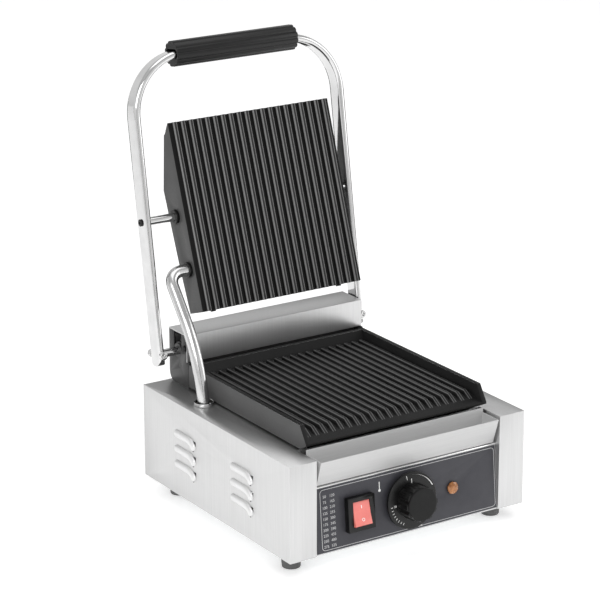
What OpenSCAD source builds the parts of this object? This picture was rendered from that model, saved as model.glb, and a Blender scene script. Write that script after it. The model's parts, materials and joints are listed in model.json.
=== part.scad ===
// Countertop contact grill (panini press): ribbed iron plates, a stainless casing, and a lid plate that
// tilts on two stub pins inside a bent tube handle.
// X runs across, Y from front to back and Z up, with Z = 0 on the table under the rubber feet.
// The modules work from the casing's front bottom edge; seated() then puts them on the feet.

/* [Casing] */
// Width of the casing
casing_w = 290; // [270:1:330]
// Depth of the casing, front to back
casing_d = 287.5; // [280:0.5:300]
// Height of the casing without its feet
casing_h = 103; // [100:0.5:106]
// Width of the two plain columns beside the front recess
column_w = 31.8; // [28:0.2:36]
// Thickness of the stainless sheet
sheet = 1; // [0.8:0.1:1.2]
// Distance from the casing's front face back to the middle of the whole grill
middle_y = 153.1; // [150:0.1:165]
// Height of a rubber foot
foot_h = 17; // [10:0.5:20]
// Diameter of a rubber foot at the top
foot_d = 22; // [16:0.5:24]

/* [Louvres] */
// Length of one louvre
louvre_len = 44; // [30:1:50]
// Height of one louvre hood
louvre_h = 9; // [6:0.5:10]
// How far a hood stands out of the wall
louvre_out = 3; // [1.5:0.1:3]
// Height from one louvre to the next
louvre_pitch = 17; // [14:0.1:18]

/* [Front] */
// Lean of the control panel, top edge to the back
panel_lean = 5.2; // [0:0.1:8]
// Height of the control panel along its own face
panel_h = 72; // [68:0.5:74]
// Distance of the rocker switch to the left of the middle
rocker_x = 61; // [60:0.5:70]
// Distance of the temperature knob to the right of the middle
knob_x = 1; // [0:0.5:10]
// Distance of the pilot lamp to the right of the middle
lamp_x = 56; // [50:0.5:70]
// Height of the controls on the panel
control_z = 36; // [34:0.5:38]
// Diameter of the knob's skirt
skirt_d = 60; // [50:1:60]
// Diameter of the knob's grip
grip_knob_d = 38; // [30:1:40]
// How far the knob stands out of the panel
knob_out = 30; // [18:0.5:32]
// Width of the drip tray
tray_w = 219.4; // [200:0.2:222]

/* [Lower plate] */
// Width of the lower plate over its side walls
lower_w = 223.6; // [210:0.2:224]
// Thickness of the lower plate's walls
lower_wall = 5; // [4:0.5:6]
// Height of the top of the ribs above the casing's bottom
rib_top_z = 122; // [121:0.5:124]
// Height of the lower plate's wall tops
wall_top_z = 130; // [128:0.5:132]
// Distance from rib to rib
rib_pitch = 10; // [8:0.5:12]
// Height of a rib
rib_h = 4; // [3:0.5:5]

/* [Lid] */
// Distance of the lid shaft behind the casing's front
hinge_y = 270; // [265:0.5:272]
// Height of the lid shaft above the casing's bottom
hinge_z = 140; // [138:0.5:142]
// Lean of the open handle frame, top to the back
lid_lean = 9.1; // [8:0.1:10]
// Sideways place of the handle frame's middle
lid_x = -9.4; // [-10:0.1:-8.8]
// Half the distance between the two arms
arm_x = 127.2; // [126.8:0.1:128]
// Distance from the lid shaft up to the top bar
reach = 313; // [300:1:320]
// Distance from the lid shaft up to the stub pins
pin_reach = 142.2; // [142:0.1:142.6]
// Depth of the flat oval tube, front to back
tube_deep = 20; // [16:0.5:22]
// Thickness of the flat oval tube
tube_thin = 8; // [7:0.5:8]
// Wall of the flat oval tube
tube_wall = 1.5; // [1:0.1:2]
// Bend radius of the tube at the two upper corners
corner_r = 62; // [50:1:70]
// Diameter of the lid shaft and of the stub pins
shaft_d = 9; // [8:0.5:10]
// Length of the handle grip
grip_len = 150; // [140:1:160]
// Diameter of the handle grip
grip_d = 27.5; // [26:0.5:30]

/* [Upper plate] */
// Width of the upper plate
upper_w = 201.2; // [190:0.2:202]
// Length of the upper plate, rear edge to front edge
upper_len = 201.9; // [190:0.1:202]
// Sideways place of the upper plate's middle
upper_x = 3; // [2:0.5:3]
// Angle of the open rib face above the horizontal
face_angle = 70.73; // [70:0.01:71]
// Distance of the stub pins from the plate's rear edge
pin_s = 104.1; // [103:0.1:105]
// Depth of the stub pins behind the rib face
pin_t = 22.4; // [21:0.1:23]

/* [Conduit] */
// Outer diameter of the wiring conduit
conduit_d = 13; // [11:0.5:13.5]
// Sideways place of the conduit's plane
conduit_x = -123; // [-124:0.1:-122.5]
// Distance of the conduit's swivel from the plate's rear edge
swivel_s = 46.6; // [46:0.1:47]
// Depth of the conduit's swivel behind the rib face
swivel_t = 16.7; // [16.4:0.1:17]
// Direction of the conduit as it leaves its elbow
conduit_heading = 231.2; // [231:0.1:231.6]
// Length of the conduit's upper straight stretch, elbow included
conduit_upper = 53; // [53:0.1:54.5]
// Radius of the conduit's long bend
conduit_bend_r = 167; // [160:1:170]
// Angle of the conduit's long bend
conduit_bend = 31.6; // [30:0.1:32]
// Length of the conduit's lower straight end
conduit_tail = 6; // [4:0.5:7]

/* [Hidden] */
$fn = 64;
slack = 0.05;
half_w = casing_w / 2;
recess_x = half_w - column_w;
recess_y = 36;
sheet_top = casing_h - sheet;
foot_x = half_w - 20;
foot_front_y = 29;
foot_rear_x = half_w - 25;
foot_rear_y = 258;
foot_spots = [[-foot_x, foot_front_y], [foot_x, foot_front_y], [-foot_rear_x, foot_rear_y], [foot_rear_x, foot_rear_y]];
louvre_top_z = 74;
louvre_starts = [66, 178];
louvre_rows = 3;
panel_foot_y = 0.5;
overlay_t = 0.4;
rocker_pivot_y = -5;
trunnion_d = 2.4;
tray_sheet = 0.8;
tray_floor_z = 73.6;
tray_back_y = 25;
tray_lip = [-2.7, 101];
tray_toe = [6.2, 73.6];
lower_half = lower_w / 2;
lower_front_y = 21.8;
lower_rear_y = 247.5;
slab_top_z = rib_top_z - rib_h;
slab_bottom_z = 107;
skirt_z = 105;
lip_z = 110.7;
lower_ribs = 21;
boss_x = lower_half - 7.8;
boss_ys = [52, 236];
stud_ys = [100, 180];
heater_d = 8;
lower_heater_z = slab_bottom_z - heater_d / 2;
housing_front_y = 251;
housing_rear_y = 288.4;
housing_top_z = 161.4;
side_plate_t = 2;
bush_d = 15.6;
stop_drop = 15.5;
stop_d = 6;
side_screw_y = 255.4;
side_screw_z = 146;
bracket_x = lower_half - 10;
bracket_ys = [260, 272];
arm_eye_drop = 2.5;
bolt_d = 5;
upper_half = upper_w / 2;
upper_ribs = 20;
upper_pitch = (upper_w - 7) / (upper_ribs - 1) * 0.965;
upper_floor = 12;
upper_wall = 5;
edge_screw_x = 80;
cover_t = 1.5;
upper_back = [[0, 31.2], [52, 35.5], [134, 39.5], [191, 16.7], [upper_len, 5]];
conduit_bore = conduit_d - 2;
elbow_r = 15;
grommet_y = 198.8;
grommet_d = 21.5;
grommet_hole = 19;
gland_x = 70;
gland_z = 28;

// ---- Placing ----

// From the casing's front bottom edge to the grill's own frame
module seated() {
    translate([0, -middle_y, foot_h]) children();
}

// On the control panel's face: X across, Z up the face, -Y out of it
module on_panel() {
    seated() translate([0, panel_foot_y, 0]) rotate([-panel_lean, 0, 0]) children();
}

// At the lid shaft, with Z up along the arms
module on_lid() {
    seated() translate([lid_x, hinge_y, hinge_z]) rotate([-lid_lean, 0, 0]) children();
}

// At the upper plate's rear edge, with Y along the plate and Z out of its rib face
module on_upper() {
    pin_y = hinge_y + pin_reach * sin(lid_lean);
    pin_z = hinge_z + pin_reach * cos(lid_lean);
    seated() translate([upper_x, pin_y, pin_z]) rotate([face_angle, 0, 0])
        translate([0, -pin_s, pin_t]) children();
}

// At the conduit's swivel, with Y along the way the tube leaves its elbow
module on_conduit() {
    on_upper() translate([-upper_x, swivel_s, -swivel_t]) rotate([conduit_heading - face_angle, 0, 0]) children();
}

// Mirrors its children to both sides of the middle plane
module both_sides() {
    children();
    mirror([1, 0, 0]) children();
}

// A box between two corners
module block(low, high) {
    translate(low) cube(high - low);
}

// A rod of diameter d between two points
module rod(from, to, d) {
    way = to - from;
    tilt = acos(way[2] / norm(way));
    turn = atan2(way[1], way[0]);
    translate(from) rotate([0, tilt, turn]) cylinder(d = d, h = norm(way));
}

// A rod of diameter d along X
module rod_x(x0, x1, d) {
    translate([x0, 0, 0]) rotate([0, 90, 0]) cylinder(d = d, h = x1 - x0);
}

// A rod of diameter d along Y
module rod_y(y0, y1, d) {
    translate([0, y1, 0]) rotate([90, 0, 0]) cylinder(d = d, h = y1 - y0);
}

// A profile in Y and Z drawn out along X
module drawn_x(x0, x1, points) {
    translate([x0, 0, 0]) rotate([90, 0, 90]) linear_extrude(x1 - x0) polygon(points);
}

// A serpentine heating element with four legs, lying in a plane, its ends turned away by drop
module serpentine(y0, y1, leg, drop) {
    for (x = [-1.5, -0.5, 0.5, 1.5])
        translate([x * leg, 0, 0]) rod_y(y0, y1, heater_d);
    for (x = [-1, 1])
        translate([x * leg, y0, 0]) rotate([0, 0, 180]) rotate_extrude(angle = 180)
            translate([leg / 2, 0]) circle(d = heater_d);
    translate([0, y1, 0]) rotate_extrude(angle = 180) translate([leg / 2, 0]) circle(d = heater_d);
    for (x = [-1.5, 1.5])
        translate([x * leg, y1, 0]) {
            sphere(d = heater_d);
            rod([0, 0, 0], [0, 0, drop], heater_d);
        }
}

// ---- Casing ----

// One hood, standing out of a wall at x = 0 towards -X, open below
module louvre() {
    rotate([90, 0, 0]) mirror([0, 0, 1]) linear_extrude(louvre_len)
        polygon([[0, 0], [-louvre_out, -louvre_h + 1], [-louvre_out, -louvre_h], [-louvre_out + 0.8, -louvre_h],
            [-louvre_out + 0.8, -louvre_h + 1.2], [0, -1.6]]);
    for (y = [0, louvre_len - 0.8])
        translate([0, y, 0]) rotate([90, 0, 0]) mirror([0, 0, 1]) linear_extrude(0.8)
            polygon([[0, 0], [-louvre_out, -louvre_h + 1], [-louvre_out, -louvre_h], [0, -louvre_h]]);
}

// Calls its children at every louvre's upper front corner on the left wall
module louvre_places() {
    for (y = louvre_starts)
        for (row = [0 : louvre_rows - 1])
            translate([-half_w, y, louvre_top_z - row * louvre_pitch]) children();
}

// A folded side with its column, top flange and bottom flange, on the left
module side_casing() {
    difference() {
        union() {
            block([-half_w, 0, 0], [-half_w + sheet, casing_d, casing_h]);
            block([-half_w + sheet, 0, 0], [-recess_x, sheet, casing_h]);
            block([-recess_x - sheet, sheet, sheet], [-recess_x, recess_y, sheet_top]);
            block([-half_w + sheet, sheet, sheet_top], [-recess_x, recess_y, casing_h]);
            block([-half_w + sheet, recess_y, sheet_top], [-recess_x + 13, casing_d - sheet, casing_h]);
            block([-half_w + sheet, recess_y, 0], [-half_w + 14, casing_d - sheet, sheet]);
        }
        louvre_places() translate([-1, 2, -louvre_h + 1]) cube([sheet + 2, louvre_len - 4, louvre_h - 4]);
        for (y = boss_ys)
            translate([-boss_x, y, sheet_top - 1]) cylinder(d = bolt_d + 0.6, h = sheet + 2);
        for (y = bracket_ys)
            translate([-bracket_x, y, sheet_top - 1]) cylinder(d = 4.4, h = sheet + 2);
    }
}

module side_casing_left() {
    color("silver") seated() difference() {
        side_casing();
        translate([conduit_x, grommet_y, sheet_top - 1]) cylinder(d = grommet_hole + 0.5, h = sheet + 2);
    }
}

module louvre_hoods() {
    color("silver") seated() both_sides() louvre_places() louvre();
}

module side_casing_right() {
    color("silver") seated() mirror([1, 0, 0]) side_casing();
}

module rear_panel() {
    vent_w = 40;
    color("silver") seated() difference() {
        block([-half_w + sheet, casing_d - sheet, 0], [half_w - sheet, casing_d, casing_h]);
        translate([gland_x, casing_d - 2 * sheet, gland_z]) rotate([-90, 0, 0]) cylinder(d = 16.2, h = 3 * sheet);
        for (x = [-60, 0], z = [40 : 8 : 72])
            translate([x - vent_w / 2, casing_d - 2 * sheet, z]) cube([vent_w, 3 * sheet, 3]);
    }
}

module base_plate() {
    slot_len = 60;
    color("gainsboro") seated() difference() {
        block([-half_w + 14, panel_foot_y + 2, 0], [half_w - 14, casing_d - sheet, sheet]);
        for (x = [-60, 0, 60], y = [80 : 12 : 176])
            translate([x - 20, y, -sheet]) cube([40, 4, 3 * sheet]);
        for (place = foot_spots)
            translate([place[0], place[1], -sheet]) cylinder(d = bolt_d + 0.4, h = 3 * sheet);
    }
}

module deck_plate() {
    opening = 172;
    opening_y = 50;
    opening_len = 182;
    reach_x = recess_x - 0.3;
    color("lightgray") seated() difference() {
        union() {
            block([-reach_x, recess_y, sheet_top - sheet], [reach_x, casing_d - sheet, sheet_top]);
            block([-reach_x, recess_y, tray_floor_z - 8], [reach_x, recess_y + sheet, sheet_top - sheet]);
        }
        translate([-opening / 2, opening_y, sheet_top - 2 * sheet]) cube([opening, opening_len, 3 * sheet]);
        block([-2, recess_y - 1, tray_floor_z - 9], [8, recess_y + 2, 72]);
        for (x = [-boss_x, boss_x], y = boss_ys)
            translate([x, y, sheet_top - 2 * sheet]) cylinder(d = bolt_d + 0.6, h = 3 * sheet);
        for (x = [-bracket_x, bracket_x], y = bracket_ys)
            translate([x, y, sheet_top - 2 * sheet]) cylinder(d = 4.4, h = 3 * sheet);
    }
}

module control_panel() {
    shelf_y = 6.5;
    color("silver") {
        difference() {
            on_panel() difference() {
                block([-recess_x + 0.3, overlay_t, 0.5], [recess_x - 0.3, overlay_t + sheet, panel_h]);
                translate([-rocker_x - 11, -1, control_z - 15]) cube([22, 4, 30]);
                translate([knob_x, 3, control_z]) rotate([90, 0, 0]) cylinder(d = 10.4, h = 6);
                translate([lamp_x, 3, control_z]) rotate([90, 0, 0]) cylinder(d = 9.4, h = 6);
            }
            seated() block([-half_w, -9, tray_floor_z - sheet], [half_w, recess_y, casing_h]);
        }
        on_panel() translate([0, overlay_t, panel_h - 0.6]) rod_x(-recess_x + 0.3, recess_x - 0.3, 2.4);
        seated() block([-recess_x + 0.3, shelf_y + 2.2, tray_floor_z - 2 * sheet - 0.1],
            [recess_x - 0.3, recess_y, tray_floor_z - sheet - 0.1]);
    }
}

module panel_overlay() {
    side = recess_x - 1;
    color("dimgray") on_panel() difference() {
        block([-side, 0, 2], [side, overlay_t, panel_h - 2]);
        translate([-rocker_x - 11, -1, control_z - 15]) cube([22, 3, 30]);
        translate([knob_x, 2, control_z]) rotate([90, 0, 0]) cylinder(d = 10.4, h = 3);
        translate([lamp_x, 2, control_z]) rotate([90, 0, 0]) cylinder(d = 9.4, h = 3);
    }
}

// Calls its children at the four feet, on the casing's underside
module foot_places() {
    for (place = foot_spots)
        seated() translate([place[0], place[1], 0]) children();
}

module rubber_feet() {
    screw_seat = 7;
    color("black") foot_places() difference() {
        translate([0, 0, -foot_h]) cylinder(d1 = foot_d - 3, d2 = foot_d, h = foot_h);
        translate([0, 0, -foot_h - 1]) cylinder(d = bolt_d + 0.4, h = foot_h + 2);
        translate([0, 0, -foot_h - 1]) cylinder(d = 11, h = foot_h - screw_seat + 1);
    }
}

module foot_screws() {
    color("gray") foot_places() {
        translate([0, 0, -7]) cylinder(d = bolt_d, h = 7 + 6);
        translate([0, 0, -10]) cylinder(d = 9, h = 3);
        translate([0, 0, sheet]) difference() {
            cylinder(d = 9, h = 4, $fn = 6);
            cylinder(d = bolt_d, h = 4);
        }
    }
}

// ---- Lower plate and what is under it ----

module lower_plate() {
    inner = lower_half - lower_wall;
    slope_y = 46;
    nose_y = 29;
    color([0.13, 0.13, 0.13]) seated() difference() {
        union() {
            both_sides() drawn_x(inner, lower_half, [[lower_rear_y, skirt_z], [lower_rear_y, wall_top_z],
                [32.8, wall_top_z], [lower_front_y, 112.8], [lower_front_y, lip_z], [33, skirt_z]]);
            drawn_x(-inner, inner, [[lower_rear_y, skirt_z], [lower_rear_y, wall_top_z],
                [lower_rear_y - lower_wall, wall_top_z], [lower_rear_y - lower_wall - 3, slab_top_z],
                [slope_y, slab_top_z], [lower_front_y, 112.8], [lower_front_y, lip_z],
                [33, slab_bottom_z], [lower_rear_y - lower_wall, slab_bottom_z],
                [lower_rear_y - lower_wall, skirt_z]]);
            for (i = [0 : lower_ribs - 1])
                translate([(i - (lower_ribs - 1) / 2) * rib_pitch, 0, 0])
                    lower_rib(nose_y, lower_rear_y - lower_wall - 7);
            for (x = [-boss_x, boss_x], y = boss_ys)
                translate([x, y, casing_h]) cylinder(d = 13, h = slab_bottom_z - casing_h);
            for (y = stud_ys)
                translate([0, y, lower_heater_z - 4]) cylinder(d = 14, h = heater_d + 1);
        }
        for (x = [-boss_x, boss_x], y = boss_ys)
            translate([x, y, casing_h - 1]) cylinder(d = bolt_d, h = 11);
        for (y = stud_ys)
            translate([0, y, lower_heater_z - 5]) cylinder(d = bolt_d, h = 13);
    }
}

// One rib of trapezoid section that runs out in a sloped nose
module lower_rib(y0, y1) {
    foot = 6.4;
    crest = 2.8;
    difference() {
        translate([0, y1, slab_top_z - 4]) rotate([90, 0, 0]) linear_extrude(y1 - y0)
            polygon([[-foot / 2, 0], [foot / 2, 0], [foot / 2, 4], [crest / 2, 4 + rib_h],
                [-crest / 2, 4 + rib_h], [-foot / 2, 4]]);
        drawn_x(-foot, foot, [[y0 - 1, slab_top_z - 5], [y0 + 3, slab_top_z - 3.4], [y0 + 17, rib_top_z + 1],
            [y0 - 1, rib_top_z + 1]]);
    }
}

module lower_plate_bolts() {
    head_h = 3.5;
    under = sheet_top - sheet;
    color("gray") seated() {
        for (x = [-boss_x, boss_x], y = boss_ys)
            translate([x, y, 0]) {
                translate([0, 0, under]) cylinder(d = bolt_d - 0.1, h = 12);
                translate([0, 0, under - head_h]) cylinder(d = 8.5, h = head_h);
            }
        for (y = stud_ys)
            translate([0, y, 0]) {
                translate([0, 0, 86]) cylinder(d = bolt_d - 0.1, h = 24);
                translate([0, 0, 82]) cylinder(d = 9, h = 4, $fn = 6);
            }
    }
}

module lower_heater() {
    color("dimgray") seated() translate([0, 0, lower_heater_z]) serpentine(82, 206, 44, -26);
}

module lower_clamp_plate() {
    color("silver") seated() difference() {
        block([-82, 64, lower_heater_z - 5.5], [82, 226, lower_heater_z - 4]);
        for (y = stud_ys)
            translate([0, y, lower_heater_z - 6]) cylinder(d = bolt_d + 0.4, h = 3);
        for (x = [-66, 66])
            translate([x, 206, lower_heater_z - 6]) cylinder(d = heater_d + 1, h = 3);
    }
}

module lower_insulation() {
    color("wheat") seated() difference() {
        block([-80, 66, 86], [80, 224, lower_heater_z - 5.5]);
        for (y = stud_ys)
            translate([0, y, 85]) cylinder(d = bolt_d + 0.4, h = 20);
        for (x = [-66, 66])
            translate([x, 206, 85]) cylinder(d = heater_d + 1, h = 20);
    }
}

// ---- Controls and wiring ----

module thermostat_body() {
    neck_d = 10;
    neck_out = 4;
    back_y = overlay_t + sheet;
    color("tan") on_panel() translate([knob_x, 0, control_z]) difference() {
        union() {
            rod_y(back_y + 2, back_y + 26, 38);
            translate([0, back_y + 1, 0]) cube([44, 2, 20], center = true);
            rod_y(overlay_t - neck_out + 2, back_y + 3, neck_d);
        }
        rod_y(-neck_out, back_y + 14, 6 + 2 * slack);
    }
}

module thermostat_bulb() {
    x = 11;
    z = lower_heater_z + 0.9;
    color("peru") seated() {
        translate([x, 0, z]) rod_y(112, 168, 6);
        rod([x, 114, z], [x, 62, z - 2.6], 1.6);
        rod([x, 61, z - 2], [knob_x, 30, 58], 1.7);
    }
}

module rocker_housing() {
    bezel_w = 32;
    bezel_h = 36;
    bezel_out = 7;
    color("black") on_panel() translate([-rocker_x, 0, control_z]) difference() {
        union() {
            block([-bezel_w / 2, -bezel_out, -bezel_h / 2], [bezel_w / 2, 0, bezel_h / 2]);
            block([-10.8, 0, -14], [10.8, 24, 14]);
            for (x = [-6, 0, 6])
                block([x - 0.4, 24, -3], [x + 0.4, 31, 3]);
        }
        block([-10.2, -bezel_out - 1, -13.3], [10.2, 10, 13.3]);
        translate([0, rocker_pivot_y, 0]) rod_x(-12.5, 12.5, trunnion_d + 0.2);
    }
}

module rocker_button() {
    swing = 12.5;
    end_r = 12.9;
    dip = 2.6;
    ends = [for (a = [15.4, 8, 0, -8]) [-end_r * sin(a), end_r * cos(a)]];
    color("salmon") on_panel() translate([-rocker_x, rocker_pivot_y, control_z]) rotate([-swing, 0, 0]) {
        drawn_x(-10, 10, concat([[-dip, 0]], ends, [[4.6, 9], [4.6, -9]],
            [for (i = [3 : -1 : 0]) [ends[i][0], -ends[i][1]]]));
        rod_x(-12, 12, trunnion_d);
    }
}

module pilot_lamp_body() {
    color("dimgray") on_panel() translate([lamp_x, 0, control_z]) difference() {
        union() {
            rod_y(-0.6, 22, 9);
            rod_y(-0.6, 0, 13.2);
            rod_y(overlay_t + sheet, overlay_t + sheet + 3, 13);
        }
        rod_y(-2, 6, 7.6);
    }
}

module pilot_lens() {
    color("orange") on_panel() translate([lamp_x, 0, control_z]) {
        rod_y(-0.6, 5.8, 7.4);
        translate([0, -0.6, 0]) rotate([90, 0, 0]) cylinder(d1 = 12.4, d2 = 9, h = 3.4);
    }
}

module thermostat_spindle() {
    color("gray") on_panel() translate([knob_x, 0, control_z]) rod_y(-14, 12, 6);
}

module knob_skirt() {
    skirt_t = 3.2;
    gap = 0.9;
    color("black") on_panel() translate([knob_x, 0, control_z]) difference() {
        rod_y(-gap - 3 - skirt_t, -gap - 3, skirt_d);
        rod_y(-gap - 4 - skirt_t, -gap, 14);
    }
}

module knob_grip() {
    skirt_face = 7.1;
    lobes = 12;
    notch_d = 7;
    color([0.2, 0.2, 0.2]) on_panel() translate([knob_x, 0, control_z]) difference() {
        union() {
            rod_y(-knob_out, -skirt_face, grip_knob_d);
            rod_y(-skirt_face, -skirt_face + 3.2, 14);
        }
        for (i = [0 : lobes - 1])
            rotate([0, (i + 0.5) * 360 / lobes, 0]) translate([grip_knob_d / 2 + notch_d * 0.25, 0, 0])
                rod_y(-knob_out - 1, -skirt_face - 1.5, notch_d);
        rod_y(-14, 0, 6);
    }
}

module terminal_block() {
    ways = 3;
    color("ivory") seated() translate([gland_x - 24, 236, sheet]) difference() {
        cube([ways * 12, 20, 16]);
        for (i = [0 : ways - 1])
            translate([12 * i + 6, 10, 10]) cylinder(d = 5, h = 7);
    }
}

module cable_gland() {
    color("black") seated() translate([gland_x, 0, gland_z]) difference() {
        union() {
            rod_y(casing_d, casing_d + 3, 22);
            rod_y(casing_d + 3, casing_d + 14, 17);
            rod_y(casing_d - 12, casing_d, 16);
        }
        rod_y(casing_d - 13, casing_d + 15, 9);
    }
}

module gland_nut() {
    color("black") seated() translate([gland_x, 0, gland_z]) difference() {
        translate([0, casing_d - sheet, 0]) rotate([90, 0, 0]) cylinder(d = 24, h = 5, $fn = 6);
        rod_y(casing_d - 8, casing_d, 16);
    }
}

module wiring_loom() {
    wire = 2.4;
    color("red") seated() {
        rod([gland_x, 273, gland_z], [gland_x - 18, 258.5, 12], wire);
        rod([gland_x - 8, 235, 9], [lamp_x, 30, 34], wire);
        rod([gland_x - 18, 235, 9], [-rocker_x, 40, 33], wire);
    }
}

// ---- Hinge housing ----

module hinge_side() {
    outer = lower_half;
    front_y = 248.2;
    top_z = housing_top_z - sheet;
    rear_y = housing_rear_y - sheet;
    corner = 9;
    foot_z = casing_h;
    screw_d = 4.4;
    difference() {
        union() {
            block([outer - side_plate_t, front_y, foot_z], [outer, rear_y - corner, 131.2]);
            block([outer - side_plate_t, housing_front_y + sheet, foot_z], [outer, rear_y - corner, top_z]);
            block([outer - side_plate_t, housing_front_y + sheet, foot_z + corner], [outer, rear_y, top_z]);
            translate([0, rear_y - corner, foot_z + corner]) rod_x(outer - side_plate_t, outer, 2 * corner);
            block([outer - 16, 254, foot_z], [outer - side_plate_t, 278, foot_z + 2]);
        }
        translate([0, hinge_y, hinge_z]) rod_x(outer - 3, outer + 1, bush_d);
        block([outer - 3, hinge_y - bush_d / 2, hinge_z], [outer + 1, hinge_y + bush_d / 2, housing_top_z + 1]);
        translate([0, side_screw_y, side_screw_z]) rod_x(outer - 3, outer + 1, screw_d);
        translate([0, hinge_y - stop_d / 2 - 2.1, hinge_z - stop_drop]) rod_x(outer - 3, outer + 1, stop_d);
        for (y = bracket_ys)
            translate([bracket_x, y, foot_z - 1]) cylinder(d = 4.4, h = 4);
    }
}

module hinge_side_left() {
    color([0.2, 0.2, 0.2]) seated() mirror([1, 0, 0]) hinge_side();
}

module hinge_side_right() {
    color([0.2, 0.2, 0.2]) seated() hinge_side();
}

module hinge_cover() {
    inside = lower_half - side_plate_t;
    ear = 5;
    color("silver") seated() difference() {
        union() {
            drawn_x(-lower_half, lower_half, [[housing_front_y, 131.4], [housing_front_y, housing_top_z],
                [housing_rear_y, housing_top_z], [housing_rear_y, 112], [housing_rear_y - sheet, 112],
                [housing_rear_y - sheet, housing_top_z - sheet], [housing_front_y + sheet, housing_top_z - sheet],
                [housing_front_y + sheet, 131.4]]);
            both_sides() block([inside - sheet, housing_front_y + sheet, side_screw_z - ear],
                [inside, side_screw_y + ear, side_screw_z + ear]);
        }
        both_sides() translate([0, side_screw_y, side_screw_z]) rod_x(inside - 2, inside + 1, 4.4);
    }
}

module hinge_screws() {
    head_h = 1.5;
    head_d = 6.4;
    color("black") seated() both_sides() {
        translate([0, side_screw_y, side_screw_z]) {
            rod_x(lower_half, lower_half + head_h, head_d);
            rod_x(lower_half - side_plate_t - 3, lower_half, 4.2);
        }
        for (y = bracket_ys)
            translate([bracket_x, y, casing_h - 3]) {
                cylinder(d = 4, h = 9);
                translate([0, 0, 5]) cylinder(d = 7.5, h = 3, $fn = 6);
            }
    }
}

module shaft_bushes() {
    color("goldenrod") seated() both_sides() translate([0, hinge_y, hinge_z]) difference() {
        union() {
            rod_x(lower_half - side_plate_t, lower_half, bush_d);
            rod_x(lower_half - side_plate_t - 4, lower_half - side_plate_t, bush_d + 3);
        }
        rod_x(lower_half - 8, lower_half + 1, shaft_d + 2 * slack);
    }
}

module lid_stop_bar() {
    color("gray") seated() translate([0, hinge_y - stop_d / 2 - 2.1, hinge_z - stop_drop])
        rod_x(-lower_half, lower_half, stop_d);
}

// Points of one balance spring: a straight leg, the coil round the shaft, a second leg
function spring_points(turns, steps, pitch, mean_r) = concat(
    [[0, mean_r, -26]],
    [for (i = [0 : turns * steps]) [pitch * i / steps, mean_r * cos(i * 360 / steps), mean_r * sin(i * 360 / steps)]],
    [[pitch * turns, mean_r, 16]]);

// A wire of 6 sides swept along points, each ring square to the way the wire runs
module wire(points, d) {
    sides = 6;
    last = len(points) - 1;
    rings = [for (i = [0 : last])
        let (way = points[min(i + 1, last)] - points[max(i - 1, 0)],
            t = way / norm(way),
            side = cross(t, [1, 0, 0]),
            u = side / norm(side),
            v = cross(t, u))
        for (k = [0 : sides - 1])
            points[i] + d / 2 * (cos(k * 360 / sides) * u + sin(k * 360 / sides) * v)];
    walls = [for (i = [0 : last - 1], k = [0 : sides - 1])
        [i * sides + k, i * sides + (k + 1) % sides, (i + 1) * sides + (k + 1) % sides, (i + 1) * sides + k]];
    caps = [[for (k = [sides - 1 : -1 : 0]) k], [for (k = [0 : sides - 1]) last * sides + k]];
    polyhedron(rings, concat(walls, caps));
}

module balance_springs() {
    color("gray") seated() for (x = [-70, 50])
        translate([x, hinge_y, hinge_z]) wire(spring_points(5, 20, 3.2, 8), 2.4);
}

// ---- Drip tray ----

module drip_tray() {
    side = tray_w / 2;
    color("silver") seated() {
        drawn_x(-side, side, [tray_lip, tray_toe, [tray_back_y, tray_floor_z], [tray_back_y, 106],
            [tray_back_y - tray_sheet, 106], [tray_back_y - tray_sheet, tray_floor_z + tray_sheet],
            [tray_toe[0] + tray_sheet, tray_floor_z + tray_sheet], [tray_lip[0] + tray_sheet, tray_lip[1]]]);
        both_sides() drawn_x(side - tray_sheet, side, [tray_lip, tray_toe, [tray_back_y, tray_floor_z],
            [tray_back_y, 101]]);
    }
}

// ---- Lid frame ----

// Section of the flat oval tube: deep along X, thin along Y, hollow
module oval_section(deep, thin) {
    square([deep - thin, thin], center = true);
    for (x = [-1, 1])
        translate([x * (deep - thin) / 2, 0]) circle(d = thin);
}

module tube_section() {
    difference() {
        oval_section(tube_deep, tube_thin);
        oval_section(tube_deep - 2 * tube_wall, tube_thin - 2 * tube_wall);
    }
}

// One arm with its solid eye, at x = 0, rising along Z
module arm() {
    straight = reach - corner_r;
    plug = 16;
    difference() {
        union() {
            translate([0, 0, plug]) linear_extrude(straight - plug) rotate([0, 0, 90]) tube_section();
            linear_extrude(plug) rotate([0, 0, 90]) oval_section(tube_deep, tube_thin);
            intersection() {
                translate([0, 0, -arm_eye_drop]) rod_x(-tube_thin / 2, tube_thin / 2, tube_deep);
                translate([0, 0, -20]) linear_extrude(20) rotate([0, 0, 90]) oval_section(tube_deep, tube_thin);
            }
        }
        rod_x(-tube_thin, tube_thin, shaft_d);
        rod_y(-tube_deep, tube_deep, bolt_d);
    }
}

module handle_frame() {
    color("silver") on_lid() {
        difference() {
            both_sides() translate([arm_x, 0, 0]) arm();
            translate([0, 0, pin_reach]) {
                rod_x(-arm_x, arm_x, shaft_d);
                rod_x(-arm_x - tube_thin, arm_x + tube_thin, bolt_d);
            }
        }
        both_sides() translate([arm_x - corner_r, 0, reach - corner_r]) rotate([90, 0, 0])
            rotate_extrude(angle = 90) translate([corner_r, 0]) rotate([0, 0, 90]) tube_section();
        translate([-(arm_x - corner_r), 0, reach]) rotate([0, 90, 0]) rotate([0, 0, 90])
            linear_extrude(2 * (arm_x - corner_r)) tube_section();
    }
}

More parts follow.
